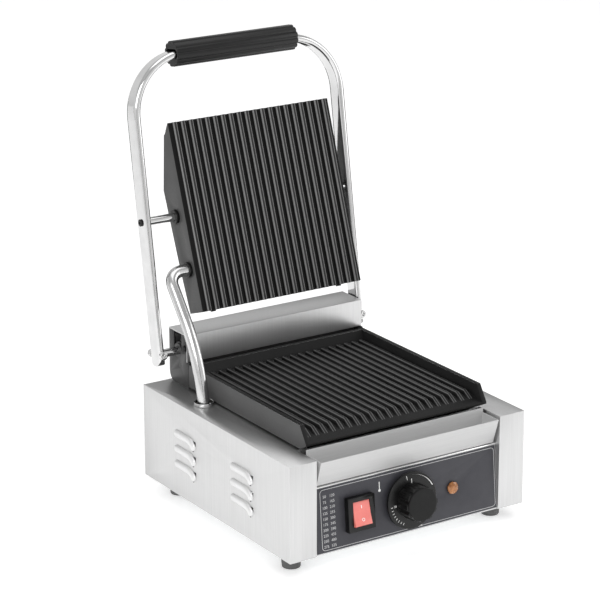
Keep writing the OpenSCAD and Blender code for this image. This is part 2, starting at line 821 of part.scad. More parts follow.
module handle_grip() {
    flutes = 12;
    flute_d = 4;
    mouth = 11;
    color([0.18, 0.18, 0.18]) on_lid() translate([0, 0, reach]) difference() {
        rod_x(-grip_len / 2, grip_len / 2, grip_d);
        translate([-grip_len / 2 - 1, 0, 0]) rotate([0, 90, 0]) rotate([0, 0, 90])
            linear_extrude(grip_len + 2) oval_section(tube_deep, tube_thin);
        both_sides() translate([grip_len / 2 - mouth, 0, 0]) rotate([0, 90, 0]) rotate([0, 0, 90])
            linear_extrude(mouth + 1) oval_section(tube_deep + 3, tube_thin + 2);
        for (i = [0 : flutes - 1])
            rotate([i * 360 / flutes, 0, 0]) translate([0, 0, grip_d / 2 + 0.9])
                rod_x(-grip_len, grip_len, flute_d);
    }
}

module lid_shaft() {
    color("silver") on_lid() difference() {
        rod_x(-arm_x - tube_thin / 2, arm_x + tube_thin / 2, shaft_d);
        for (x = [-arm_x, arm_x])
            translate([x, 0, 0]) rod_y(-shaft_d, shaft_d, bolt_d);
    }
}

module stop_lever() {
    finger = 16.4;
    color("gray") seated() translate([0, hinge_y, hinge_z]) difference() {
        union() {
            rod_x(-6, 6, 17);
            block([-6, -2, -finger], [6, 2, 0]);
        }
        rod_x(-7, 7, shaft_d);
    }
}

module clamp_bolts() {
    socket = 4.2;
    color("gray") on_lid() for (x = [-arm_x, arm_x])
        translate([x, 0, 0]) difference() {
            union() {
                rod_y(-tube_deep / 2 - 4.5, -tube_deep / 2, 8.4);
                rod_y(-tube_deep / 2, tube_deep / 2 + 6, bolt_d);
            }
            translate([0, -tube_deep / 2 - 2, 0]) rotate([90, 0, 0]) cylinder(d = socket, h = 4, $fn = 6);
        }
}

module clamp_nuts() {
    nut_h = 4;
    color("silver") on_lid() for (x = [-arm_x, arm_x])
        translate([x, tube_deep / 2, 0]) difference() {
            union() {
                rotate([-90, 0, 0]) cylinder(d = 9.2, h = nut_h, $fn = 6);
                intersection() {
                    translate([0, nut_h - 0.6, 0]) sphere(d = 8.6);
                    rod_y(nut_h - 1, 12, 12);
                }
            }
            rod_y(-1, 6, bolt_d);
        }
}

module stub_pins() {
    into = 8;
    left_side = upper_x - upper_half - lid_x;
    right_side = upper_x + upper_half - lid_x;
    outer = arm_x + tube_thin / 2 - tube_wall;
    color("silver") on_lid() translate([0, 0, pin_reach]) difference() {
        union() {
            rod_x(-outer, left_side + into, shaft_d);
            rod_x(right_side - into, outer, shaft_d);
        }
        rod_x(-outer - 1, -outer + 12, bolt_d);
        rod_x(outer - 12, outer + 1, bolt_d);
    }
}

module pin_screws() {
    face = arm_x + tube_thin / 2;
    head_h = 1.4;
    color("black") on_lid() translate([0, 0, pin_reach]) both_sides() difference() {
        union() {
            rod_x(face - 11, face, bolt_d);
            rod_x(face, face + head_h, 7.6);
        }
        translate([face + head_h - 0.8, 0, 0]) rotate([0, 90, 0]) cylinder(d = 3.4, h = 2, $fn = 6);
    }
}

// ---- Upper plate ----

// The back outline of the casting, at a depth less than the full one by inset
function back_line(inset) = [for (p = upper_back) [p[0], -(p[1] - inset)]];

module upper_plate() {
    rib_foot = 6.2;
    rib_crest = 3.6;
    floor_front = 186;
    color([0.3, 0.3, 0.3]) on_upper() difference() {
        union() {
            block([-upper_half, 0, -upper_floor], [upper_half, upper_len, -rib_h]);
            for (i = [0 : upper_ribs - 1])
                translate([(i - (upper_ribs - 1) / 2) * upper_pitch, upper_len, -rib_h]) rotate([90, 0, 0])
                    linear_extrude(upper_len) polygon([[-rib_foot / 2, 0], [rib_foot / 2, 0],
                        [rib_crest / 2, rib_h], [-rib_crest / 2, rib_h]]);
            both_sides() drawn_x(upper_half - upper_wall, upper_half,
                concat([[0, -rib_h - 1]], back_line(cover_t), [[upper_len, -rib_h - 1]]));
            block([-upper_half, 0, -upper_back[0][1] + cover_t], [upper_half, upper_wall, -rib_h]);
            for (y = [70, 140])
                translate([0, y, -20]) cylinder(d = 14, h = 9);
        }
        drawn_x(-upper_half - 1, upper_half + 1, [[191, -16.7 + cover_t], [upper_len + 1, -3.9],
            [upper_len + 1, -40], [191, -40]]);
        translate([0, pin_s, -pin_t]) rod_x(-upper_half - 1, upper_half + 1, 13);
        translate([0, swivel_s, -swivel_t]) rod_x(-upper_half - 1, 0, conduit_d + 2);
        for (y = [70, 140])
            translate([0, y, -21]) cylinder(d = bolt_d, h = 13);
        for (x = [-edge_screw_x, edge_screw_x])
            translate([x, 0, -18]) rod_y(-1, 5, 3);
    }
}

module upper_cover() {
    color([0.28, 0.28, 0.28]) on_upper() difference() {
        drawn_x(-upper_half, upper_half, concat([for (p = upper_back) if (p[0] <= 191) [p[0], -p[1]]],
            [for (i = [3 : -1 : 0]) [upper_back[i][0], -(upper_back[i][1] - cover_t)]]));
        for (x = [-60, 60])
            translate([x, 30, -40]) cylinder(d = 4.4, h = 20);
        for (x = [-60, 60])
            translate([x, 120, -45]) cylinder(d = 4.4, h = 20);
    }
}

module cover_screws() {
    color("gray") on_upper() for (x = [-60, 60]) {
        translate([x, 30, -34.1 - 2.2]) cylinder(d = 7.5, h = 2.2);
        translate([x, 30, -34.1]) cylinder(d = 4, h = 3);
        translate([x, 120, -39.1 - 2.2]) cylinder(d = 7.5, h = 2.2);
        translate([x, 120, -39.1]) cylinder(d = 4, h = 3);
    }
}

module upper_heater() {
    color("dimgray") on_upper() translate([0, 0, -upper_floor - heater_d / 2]) mirror([0, 0, 1])
        serpentine(38, 152, 42, 9);
}

module upper_clamp_plate() {
    color("silver") on_upper() difference() {
        block([-78, 16, -21.5], [78, 172, -20]);
        for (y = [70, 140])
            translate([0, y, -22]) cylinder(d = bolt_d + 0.4, h = 4);
        for (x = [-63, 63])
            translate([x, 152, -22]) cylinder(d = heater_d + 1, h = 4);
    }
}

module upper_insulation() {
    color("wheat") on_upper() difference() {
        block([-76, 18, -29], [76, 140, -21.5]);
        translate([0, 70, -30]) cylinder(d = 10, h = 10);
    }
}

module pin_bushes() {
    collar = 3.4;
    color("black") on_upper() translate([0, pin_s, -pin_t]) both_sides() difference() {
        union() {
            rod_x(upper_half - upper_wall, upper_half, 13);
            rod_x(upper_half, upper_half + collar, 15);
        }
        rod_x(upper_half - upper_wall - 1, upper_half + collar + 1, shaft_d + 2 * slack);
    }
}

module conduit_collar() {
    collar = 3.4;
    color("black") on_upper() translate([0, swivel_s, -swivel_t]) difference() {
        union() {
            rod_x(-upper_half - collar, -upper_half, 16.4);
            rod_x(-upper_half, -upper_half + upper_wall, conduit_d + 2);
        }
        rod_x(-upper_half - collar - 1, -upper_half + upper_wall + 1, conduit_d + 2 * slack);
    }
}

module rear_edge_screws() {
    color("black") on_upper() for (x = [-edge_screw_x, edge_screw_x])
        translate([x, 0, -18]) {
            rod_y(-1.8, 0, 6);
            rod_y(0, 4, 3);
        }
}

// ---- Conduit ----

// The conduit's course as a solid rod of diameter d: inner end, elbow, straight, long bend and tail
module conduit_course(d) {
    elbow_x = conduit_x + elbow_r;
    translate([elbow_x, 0, 0]) rod_x(0, -upper_half + upper_x + 10 - elbow_x, d);
    translate([elbow_x, elbow_r, 0]) rotate([0, 0, 180]) rotate_extrude(angle = 90)
        translate([elbow_r, 0]) circle(d = d);
    translate([conduit_x, 0, 0]) rod_y(elbow_r, conduit_upper, d);
    translate([conduit_x, conduit_upper, conduit_bend_r]) rotate([90, 0, 90]) rotate([0, 0, -90]) {
        rotate_extrude(angle = conduit_bend) translate([conduit_bend_r, 0]) circle(d = d);
        rotate([0, 0, conduit_bend]) translate([conduit_bend_r, 0, 0]) rod_y(0, conduit_tail, d);
    }
}

module conduit_tube() {
    color("silver") on_conduit() difference() {
        conduit_course(conduit_d);
        conduit_course(conduit_bore);
    }
}

module conduit_grommet() {
    rim = 3.5;
    color("silver") seated() translate([conduit_x, grommet_y, casing_h]) difference() {
        cylinder(d = grommet_d, h = rim);
        translate([0, 0, -1]) cylinder(d = grommet_hole, h = rim + 2);
    }
}

side_casing_left();
side_casing_right();
louvre_hoods();
rear_panel();
base_plate();
deck_plate();
control_panel();
panel_overlay();
rubber_feet();
foot_screws();
lower_plate();
lower_plate_bolts();
lower_heater();
lower_clamp_plate();
lower_insulation();
thermostat_body();
thermostat_bulb();
rocker_housing();
pilot_lamp_body();
pilot_lens();
terminal_block();
cable_gland();
gland_nut();
wiring_loom();
hinge_side_left();
hinge_side_right();
hinge_cover();
hinge_screws();
shaft_bushes();
lid_stop_bar();
balance_springs();
conduit_grommet();
drip_tray();
thermostat_spindle();
knob_skirt();
knob_grip();
rocker_button();
lid_shaft();
stop_lever();
handle_frame();
handle_grip();
clamp_bolts();
clamp_nuts();
stub_pins();
pin_screws();
upper_plate();
upper_cover();
cover_screws();
upper_heater();
upper_clamp_plate();
upper_insulation();
pin_bushes();
conduit_collar();
rear_edge_screws();
conduit_tube();
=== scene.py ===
"""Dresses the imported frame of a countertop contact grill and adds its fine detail, floor, light and camera."""

import json
import logging
import math
from collections.abc import Callable, Iterable
from dataclasses import dataclass
from enum import Enum
from typing import Any

import bpy
from mathutils import Matrix, Vector

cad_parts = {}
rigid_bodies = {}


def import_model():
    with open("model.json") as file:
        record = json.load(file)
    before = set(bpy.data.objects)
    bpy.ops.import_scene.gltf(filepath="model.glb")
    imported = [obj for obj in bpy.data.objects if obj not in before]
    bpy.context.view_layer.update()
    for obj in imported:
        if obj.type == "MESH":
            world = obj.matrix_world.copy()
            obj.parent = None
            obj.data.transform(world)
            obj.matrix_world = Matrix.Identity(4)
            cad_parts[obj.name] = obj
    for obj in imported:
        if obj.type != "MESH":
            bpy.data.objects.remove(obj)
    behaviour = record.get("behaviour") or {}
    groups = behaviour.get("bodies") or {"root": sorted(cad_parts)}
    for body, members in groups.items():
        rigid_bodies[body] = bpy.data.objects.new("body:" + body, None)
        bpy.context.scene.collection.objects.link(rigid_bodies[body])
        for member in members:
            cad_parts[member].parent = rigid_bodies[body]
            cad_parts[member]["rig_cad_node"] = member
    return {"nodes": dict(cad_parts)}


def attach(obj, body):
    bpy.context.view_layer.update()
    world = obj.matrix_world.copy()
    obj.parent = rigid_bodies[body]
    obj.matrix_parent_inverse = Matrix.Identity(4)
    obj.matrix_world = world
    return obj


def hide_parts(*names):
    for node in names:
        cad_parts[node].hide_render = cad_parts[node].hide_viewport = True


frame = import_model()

LOG = logging.getLogger("contact_grill")
MM = 0.001
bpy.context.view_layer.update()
# Where the casing's front bottom edge lies in the row frame
CASING_FRONT = Vector((0.0, -0.1531, 0.017))
PANEL_LEAN = math.radians(5.2)
PANEL_FOOT = 0.5
# How thick a printed mark is, in millimetres
INK = 0.08


class Grain(Enum):
    """The way the strokes of a brushed sheet run."""

    ACROSS = (0.02, 1.0, 1.0)
    DEEP = (1.0, 0.02, 1.0)
    UPRIGHT = (1.0, 1.0, 0.02)


class Body(Enum):
    """The bodies that pieces ride on."""

    BASE = "grill_base"
    TRAY = "drip_tray"
    KNOB = "thermostat_knob"
    ROCKER = "power_rocker"
    LID = "lid_frame"
    PRESS = "press_plate"
    CONDUIT = "conduit"


def linear(colour: str) -> tuple[float, float, float, float]:
    """Turns an sRGB hex value into a linear colour.

    Args:
        colour: The value as "#RRGGBB".

    Returns:
        Red, green, blue and alpha, linear, from 0 to 1.
    """
    parts = [int(colour[i : i + 2], 16) / 255 for i in (1, 3, 5)]
    red, green, blue = (c / 12.92 if c <= 0.04045 else ((c + 0.055) / 1.055) ** 2.4 for c in parts)
    return red, green, blue, 1.0


def add_node(
    tree: bpy.types.NodeTree, kind: str, settings: dict[Any, Any] | None = None, links: dict[Any, Any] | None = None
) -> bpy.types.Node:
    """Adds a node with its settings and links.

    Args:
        tree: The node tree to add to.
        kind: The node's type name.
        settings: Values by attribute name, or by input name or number.
        links: Output sockets by the name or number of the input they feed.

    Returns:
        The new node.
    """
    node = tree.nodes.new(kind)
    for key, value in (settings or {}).items():
        if isinstance(key, str) and hasattr(node, key):
            setattr(node, key, value)
        else:
            node.inputs[key].default_value = value
    for key, socket in (links or {}).items():
        tree.links.new(socket, node.inputs[key])
    return node


def ramp(
    tree: bpy.types.NodeTree, factor: bpy.types.NodeSocket, stops: Iterable[tuple[float, str]]
) -> bpy.types.NodeSocket:
    """Adds a colour ramp.

    Args:
        tree: The node tree to add to.
        factor: The socket that drives the ramp.
        stops: Places from 0 to 1 with their hex colours.

    Returns:
        The ramp's colour socket.
    """
    node = add_node(tree, "ShaderNodeValToRGB", links={"Fac": factor})
    elements = node.color_ramp.elements
    stops = list(stops)
    while len(elements) < len(stops):
        elements.new(0.5)
    for element, (place, colour) in zip(elements, stops):
        element.position = place
        element.color = linear(colour)
    return node.outputs["Color"]


@dataclass(frozen=True)
class Finish:
    """A surface: what it is made of and how it was made. Subclasses say what the eye sees."""

    name: str
    slot: str
    colour: str
    shade: str
    roughness: float = 0.5
    metallic: float = 0.0
    bump: float = 0.1

    def noise(self, tree: bpy.types.NodeTree, size_mm: float, stretch: tuple[float, float, float] = (1, 1, 1),
              detail: float = 3.0) -> bpy.types.NodeSocket:
        """Adds noise whose lumps are about size_mm across, drawn out where stretch is small.

        Args:
            tree: The node tree to add to.
            size_mm: The size of a lump in millimetres.
            stretch: How dense the pattern is along X, Y and Z.
            detail: How many finer layers it has.

        Returns:
            The noise's factor socket.
        """
        place = add_node(tree, "ShaderNodeTexCoord")
        scale = add_node(tree, "ShaderNodeMapping", {"Scale": stretch}, {"Vector": place.outputs["Object"]})
        noise = add_node(
            tree, "ShaderNodeTexNoise", {"Scale": 1000.0 / size_mm, "Detail": detail, "Roughness": 0.6},
            {"Vector": scale.outputs["Vector"]},
        )
        return noise.outputs["Fac"]

    def spread(self, tree: bpy.types.NodeTree, factor: bpy.types.NodeSocket, low: float,
               high: float) -> bpy.types.NodeSocket:
        """Maps a factor's middle range onto low to high.

        Args:
            tree: The node tree to add to.
            factor: The socket to map.
            low: The lowest value given out.
            high: The highest value given out.

        Returns:
            The mapped value's socket.
        """
        node = add_node(
            tree, "ShaderNodeMapRange",
            {"From Min": 0.3, "From Max": 0.7, "To Min": low, "To Max": high}, {"Value": factor},
        )
        return node.outputs["Result"]

    def rough_bump(self, tree: bpy.types.NodeTree, height: bpy.types.NodeSocket, depth_mm: float,
                   strength: float) -> bpy.types.NodeSocket:
        """Adds a bump of a real depth and returns its normal socket."""
        node = add_node(
            tree, "ShaderNodeBump", {"Strength": strength, "Distance": depth_mm * MM}, {"Height": height}
        )
        return node.outputs["Normal"]

    def surface(self, tree: bpy.types.NodeTree, shader: bpy.types.Node) -> None:
        """Links the surface's pattern into the shader: mottled colour, uneven gloss and fine bump."""
        fine = self.noise(tree, 1.2)
        broad = self.noise(tree, 26.0)
        tree.links.new(ramp(tree, broad, [(0.3, self.shade), (0.7, self.colour)]), shader.inputs["Base Color"])
        tree.links.new(
            self.spread(tree, fine, self.roughness - 0.06, self.roughness + 0.06), shader.inputs["Roughness"]
        )
        tree.links.new(self.rough_bump(tree, fine, 0.05, self.bump), shader.inputs["Normal"])

    def material(self) -> bpy.types.Material:
        """Returns the finish's material, built the first time it is asked for."""
        found = bpy.data.materials.get(self.name)
        if found:
            return found
        made = bpy.data.materials.new(self.name)
        made.use_nodes = True
        tree = made.node_tree
        shader = tree.nodes["Principled BSDF"]
        shader.inputs["Metallic"].default_value = self.metallic
        made.diffuse_color = linear(self.colour)
        self.surface(tree, shader)
        return made

    def dress(self, *pieces: bpy.types.Object) -> None:
        """Gives the pieces this finish on all their faces."""
        for piece in pieces:
            piece.data.materials.clear()
            piece.data.materials.append(self.material())

    def touch(self, piece: bpy.types.Object, test: Callable[[Vector, Vector], bool]) -> None:
        """Gives this finish to the faces of a dressed piece whose centre and normal pass the test."""
        piece.data.materials.append(self.material())
        number = len(piece.data.materials) - 1
        for face in piece.data.polygons:
            if test(face.center, face.normal):
                face.material_index = number


@dataclass(frozen=True)
class BrushedStainless(Finish):
    """18/10 stainless sheet, belt brushed: long fine strokes, a soft drawn-out gloss and faint clouding."""

    grain: Grain = Grain.UPRIGHT

    def surface(self, tree: bpy.types.NodeTree, shader: bpy.types.Node) -> None:
        """Links stroke-wise colour, gloss and bump. Real strokes are 0.1 mm, drawn at 1.4 mm so they show."""
        strokes = self.noise(tree, 1.4, self.grain.value, 4.0)
        cloud = self.noise(tree, 70.0, (1, 1, 0.5), 1.0)
        tree.links.new(ramp(tree, strokes, [(0.25, self.shade), (0.75, self.colour)]), shader.inputs["Base Color"])
        both = add_node(tree, "ShaderNodeMath", {"operation": "ADD"}, {0: strokes, 1: cloud})
        half = add_node(tree, "ShaderNodeMath", {"operation": "MULTIPLY", 1: 0.5}, {0: both.outputs[0]})
        tree.links.new(
            self.spread(tree, half.outputs[0], self.roughness - 0.03, self.roughness + 0.03),
            shader.inputs["Roughness"],
        )
        tree.links.new(self.rough_bump(tree, strokes, 0.03, self.bump), shader.inputs["Normal"])


@dataclass(frozen=True)
class Chrome(Finish):
    """Chromium plate on polished steel tube: a clear mirror with the faintest cloud of handling."""

    def surface(self, tree: bpy.types.NodeTree, shader: bpy.types.Node) -> None:
        """Links a barely uneven gloss and colour."""
        cloud = self.noise(tree, 18.0)
        tree.links.new(ramp(tree, cloud, [(0.3, self.shade), (0.7, self.colour)]), shader.inputs["Base Color"])
        tree.links.new(
            self.spread(tree, cloud, self.roughness, self.roughness + 0.04), shader.inputs["Roughness"]
        )


@dataclass(frozen=True)
class CastIron(Finish):
    """Sand-cast iron, seasoned and oiled: a fine grit in the skin and slow clouds of soot."""

    grit_mm: float = 0.9
    sheen: float = 0.18

    def surface(self, tree: bpy.types.NodeTree, shader: bpy.types.Node) -> None:
        """Links the grit and the clouds. Grit is 0.3 mm, drawn at 0.9 mm."""
        grit = self.noise(tree, self.grit_mm, detail=4.0)
        cloud = self.noise(tree, 40.0)
        tree.links.new(ramp(tree, cloud, [(0.3, self.shade), (0.7, self.colour)]), shader.inputs["Base Color"])
        tree.links.new(
            self.spread(tree, grit, self.roughness - 0.08, self.roughness + 0.1), shader.inputs["Roughness"]
        )
        tree.links.new(self.rough_bump(tree, grit, 0.12, self.bump), shader.inputs["Normal"])
        shader.inputs["Specular IOR Level"].default_value = self.sheen


@dataclass(frozen=True)
class RibbedIron(CastIron):
    """Ribbed cast iron: dark crests between two bright lines of painted highlight at the rib edges, and black
    valleys of painted shade.
    """

    pitch_mm: float = 10.0
    middle_mm: float = 0.0
    edge_mm: tuple[float, float] = (0.9, 1.9)
    painted_highlight: str = "#808080"

    def surface(self, tree: bpy.types.NodeTree, shader: bpy.types.Node) -> None:
        """Links the iron, then the crest band, the painted highlight bands at the edges and the painted shade bands
        in the valleys, all running along the ribs.
        """
        super().surface(tree, shader)
        place = add_node(tree, "ShaderNodeTexCoord")
        apart = add_node(tree, "ShaderNodeSeparateXYZ", links={0: place.outputs["Object"]})
        turns = add_node(
            tree, "ShaderNodeMath",
            {"operation": "MULTIPLY_ADD", 1: 1000.0 / self.pitch_mm, 2: 0.5 - self.middle_mm / self.pitch_mm},
            {0: apart.outputs["X"]},
        )
        part = add_node(tree, "ShaderNodeMath", {"operation": "FRACT"}, {0: turns.outputs[0]})
        off = add_node(tree, "ShaderNodeMath", {"operation": "SUBTRACT", 1: 0.5}, {0: part.outputs[0]})
        away = add_node(tree, "ShaderNodeMath", {"operation": "ABSOLUTE"}, {0: off.outputs[0]})
        near, far = (edge / self.pitch_mm for edge in self.edge_mm)
        # The bands from near to far are painted highlight lines at the rib edges; from far to the valley middle the
        # shade colour is painted shade.
        bands = ramp(
            tree, away.outputs[0],
            [(0.0, self.colour), (near - 0.01, self.colour), (near, self.painted_highlight), (far, self.painted_highlight),
             (far + 0.02, self.shade), (0.5, self.shade)],
        )
        tree.links.new(bands, shader.inputs["Base Color"])


@dataclass(frozen=True)
class Moulded(Finish):
    """Injection-moulded plastic or rubber: one deep colour, a spark-eroded grain and a satin gloss."""

    grain_mm: float = 0.7
    glow: float = 0.0
    sheen: float = 0.5

    def surface(self, tree: bpy.types.NodeTree, shader: bpy.types.Node) -> None:
        """Links the mould grain and a slow colour drift."""
        grain = self.noise(tree, self.grain_mm)
        drift = self.noise(tree, 14.0)
        tree.links.new(ramp(tree, drift, [(0.3, self.shade), (0.7, self.colour)]), shader.inputs["Base Color"])
        tree.links.new(
            self.spread(tree, grain, self.roughness - 0.05, self.roughness + 0.05), shader.inputs["Roughness"]
        )
        tree.links.new(self.rough_bump(tree, grain, 0.03, self.bump), shader.inputs["Normal"])
        shader.inputs["Specular IOR Level"].default_value = self.sheen
        if self.glow:
            shader.inputs["Subsurface Weight"].default_value = self.glow
            shader.inputs["Subsurface Radius"].default_value = (0.004, 0.0015, 0.001)
            shader.inputs["Coat Weight"].default_value = 0.4


@dataclass(frozen=True)
class PaleFloor(Finish):
    """A matt white table under even light, lifted a little so that it stays white far away."""

    lift: float = 0.36

    def surface(self, tree: bpy.types.NodeTree, shader: bpy.types.Node) -> None:
        """Links the slow unevenness of the paint and the lift."""
        drift = self.noise(tree, 400.0)
        tree.links.new(ramp(tree, drift, [(0.3, self.shade), (0.7, self.colour)]), shader.inputs["Base Color"])
        shader.inputs["Roughness"].default_value = self.roughness
        shader.inputs["Emission Color"].default_value = linear(self.colour)
        shader.inputs["Emission Strength"].default_value = self.lift


@dataclass(frozen=True)
class JewelLens(Finish):
    """Moulded polycarbonate lamp lens: clear amber, bright where light gathers, with flow marks."""

    def surface(self, tree: bpy.types.NodeTree, shader: bpy.types.Node) -> None:
        """Links the amber's depth of colour and lets some light through."""
        flow = self.noise(tree, 5.0)
        tree.links.new(ramp(tree, flow, [(0.35, self.shade), (0.65, self.colour)]), shader.inputs["Base Color"])
        tree.links.new(
            self.spread(tree, flow, self.roughness, self.roughness + 0.05), shader.inputs["Roughness"]
        )
        shader.inputs["Transmission Weight"].default_value = 0.25
        shader.inputs["Coat Weight"].default_value = 0.6


STAINLESS_UPRIGHT = BrushedStainless(
    "stainless_brushed_upright", "brushed_casing", "#D6D6D6", "#CDCDCD", 0.4, 1.0, 0.03
)
STAINLESS_DEEP = BrushedStainless(
    "stainless_brushed_deep", "brushed_casing", "#C8C8C8", "#C0C0C0", 0.36, 1.0, 0.03, Grain.DEEP
)
STAINLESS_ACROSS = BrushedStainless(
    "stainless_brushed_across", "brushed_casing", "#D8D8D8", "#D0D0D0", 0.5, 0.85, 0.02, Grain.ACROSS
)
TRAY_SHEET = BrushedStainless(
    "stainless_tray", "brushed_casing", "#D0D0D0", "#C8C8C8", 0.6, 0.6, 0.02, Grain.ACROSS
)
# The hoods are the casing's own steel; their lighter colour is painted highlight.
HOODS_PAINTED_HIGHLIGHT = BrushedStainless("stainless_hoods_painted_highlight", "brushed_casing", "#EAEAEA", "#E4E4E4", 0.5, 1.0, 0.01)
GALVANISED = BrushedStainless("galvanised_sheet", "galvanised_sheet", "#B4B8B9", "#9EA3A5", 0.48, 0.9, 0.2)
CHROME = Chrome("chrome_plate", "bright_chrome", "#DCDCDC", "#D2D2D2", 0.06, 1.0)
SATIN_CHROME = Chrome("chrome_plate_satin", "bright_chrome", "#D6D6D6", "#C8C8C8", 0.17, 1.0)
SPRING_STEEL = Chrome("spring_steel", "spring_steel", "#9A9A98", "#83837F", 0.25, 1.0)
ZINC = Finish("zinc_plate", "zinc_screw", "#B4B4AE", "#9B9B95", 0.36, 1.0, 0.15)
COPPER = Finish("drawn_copper", "copper", "#C07E4C", "#A8683A", 0.3, 1.0, 0.1)
SHEATH = Finish("heater_sheath", "heater_sheath", "#857D72", "#6C635A", 0.45, 0.9, 0.2)
CERAMIC = Finish("steatite", "ceramic", "#EADFC8", "#DDCFB2", 0.55, 0.0, 0.1)
FIBRE = Finish("fibre_board", "insulation_board", "#DCD0B2", "#C6B894", 0.85, 0.0, 0.6)
SLEEVE = Finish("glass_sleeve", "wire_sleeve", "#A33A2E", "#8B2F25", 0.6, 0.0, 0.5)
BLACK_STEEL = Moulded("black_baked_steel", "black_steel", "#333333", "#2B2B2B", 0.42, 0.0, 0.25, 1.4)
BLACK_OXIDE = Moulded("black_oxide_steel", "black_screw", "#1B1B1B", "#131313", 0.36, 0.6, 0.1)
BLACK_PLASTIC = Moulded("black_polyamide", "black_plastic", "#0F0F0F", "#0A0A0A", 0.3, 0.0, 0.08, sheen=0.35)
GRIP_PLASTIC = Moulded("grip_phenolic", "grip_plastic", "#161616", "#101010", 0.36, 0.0, 0.1, sheen=0.35)
FOOT_RUBBER = Moulded("foot_rubber", "foot_rubber", "#101010", "#0B0B0B", 0.66, 0.0, 0.3, sheen=0.15)
PANEL_FILM = Moulded("panel_film", "panel_print", "#424247", "#3D3D42", 0.42, 0.0, 0.1, 0.6, sheen=0.3)
WHITE_INK = Moulded("white_screen_ink", "panel_print", "#F4F4F2", "#E9E9E7", 0.5, 0.0, 0.05)
GREY_INK = Moulded("grey_screen_ink", "panel_print", "#C9C9C9", "#BBBBBB", 0.5, 0.0, 0.05)
# A dark disc set in each louvre's mouth: painted shade.
SLOT_PAINTED_SHADE = Moulded("louvre_shadow", "black_steel", "#303030", "#262626", 0.8, 0.0, 0.05)
ROCKER_RED = Moulded("rocker_red", "red_rocker", "#EE8A82", "#E67A72", 0.2, 0.0, 0.04, 0.7, 0.35)
AMBER = JewelLens("amber_jewel", "amber_lens", "#D08846", "#96591F", 0.1)
IRON = CastIron("cast_iron", "cast_plate", "#1E1E1E", "#171717", 0.48, 0.0, 0.25)
# The rib finishes paint highlight lines at the rib edges and paint shade into the valleys.
UPPER_RIBS = RibbedIron(
    "cast_iron_upper_ribs", "cast_plate", "#2A2A2A", "#121212", 0.5, 0.0, 0.2, pitch_mm=9.863, middle_mm=3.0 + 4.93,
    edge_mm=(1.3, 2.2),
)
LOWER_RIBS = RibbedIron(
    "cast_iron_lower_ribs", "cast_plate", "#242424", "#0F0F0F", 0.46, 0.0, 0.2, edge_mm=(1.2, 1.7), painted_highlight="#666666"
)
# Near-white iron for the sloped faces of the lower plate's rim: painted highlight.
RIM_PAINTED_HIGHLIGHT = CastIron("cast_iron_rim_painted_highlight", "cast_plate", "#D2D2D2", "#BEBEBE", 0.4, 0.2, 0.1, sheen=0.5)
# A lighter iron for the plates' outer side walls: painted light.
WALL_IRON_PAINTED_LIGHT = CastIron("cast_iron_wall_painted_light", "cast_plate", "#5A5A5A", "#525252", 0.5, 0.1, 0.3)


def deselect() -> None:
    """Leaves nothing selected, in object mode."""
    if bpy.context.object and bpy.context.object.mode != "OBJECT":
        bpy.ops.object.mode_set(mode="OBJECT")
    bpy.ops.object.select_all(action="DESELECT")


def only(piece: bpy.types.Object) -> bpy.types.Object:
    """Selects one piece and makes it active."""
    deselect()
    piece.select_set(True)
    bpy.context.view_layer.objects.active = piece
    return piece


def pick_points(piece: bpy.types.Object, test: Callable[[Vector], bool]) -> None:
    """Selects the points whose place passes the test, and the faces they bound, and enters edit mode."""
    bpy.ops.object.mode_set(mode="EDIT")
    bpy.ops.mesh.select_mode(type="VERT")
    bpy.ops.mesh.select_all(action="DESELECT")
    bpy.ops.object.mode_set(mode="OBJECT")
    for point in piece.data.vertices:
        point.select = test(point.co)
    bpy.ops.object.mode_set(mode="EDIT")


def pick_faces(piece: bpy.types.Object, test: Callable[[Vector, Vector], bool]) -> None:
    """Selects the faces whose centre and normal pass the test, and enters edit mode."""
    bpy.ops.object.mode_set(mode="EDIT")
    bpy.ops.mesh.select_mode(type="FACE")
    bpy.ops.mesh.select_all(action="DESELECT")
    bpy.ops.object.mode_set(mode="OBJECT")
    for face in piece.data.polygons:
        face.select = test(face.center, face.normal)
    bpy.ops.object.mode_set(mode="EDIT")


def settle(piece: bpy.types.Object, place: Matrix | None = None, smooth: float = 35.0) -> bpy.types.Object:
    """Applies a piece's place to its mesh, moves it by place and shades it smooth below an angle.

    Args:
        piece: The piece, in any mode.
        place: A matrix that takes it from where it was modelled to where it belongs.
        smooth: The steepest angle that is shaded smooth, in degrees.

    Returns:
        The piece, its object at the origin.
    """
    only(piece)
    bpy.ops.object.transform_apply(location=True, rotation=True, scale=True)
    if place is not None:
        piece.data.transform(place)
        piece.data.update()
    bpy.ops.object.shade_smooth_by_angle(angle=math.radians(smooth))
    return piece


def apply_modifier(piece: bpy.types.Object, kind: str, **values: Any) -> None:
    """Adds a modifier with its values and applies it."""
    only(piece)
    modifier = piece.modifiers.new(kind.lower(), kind)
    for key, value in values.items():
        setattr(modifier, key, value)
    bpy.ops.object.modifier_apply(modifier=modifier.name)


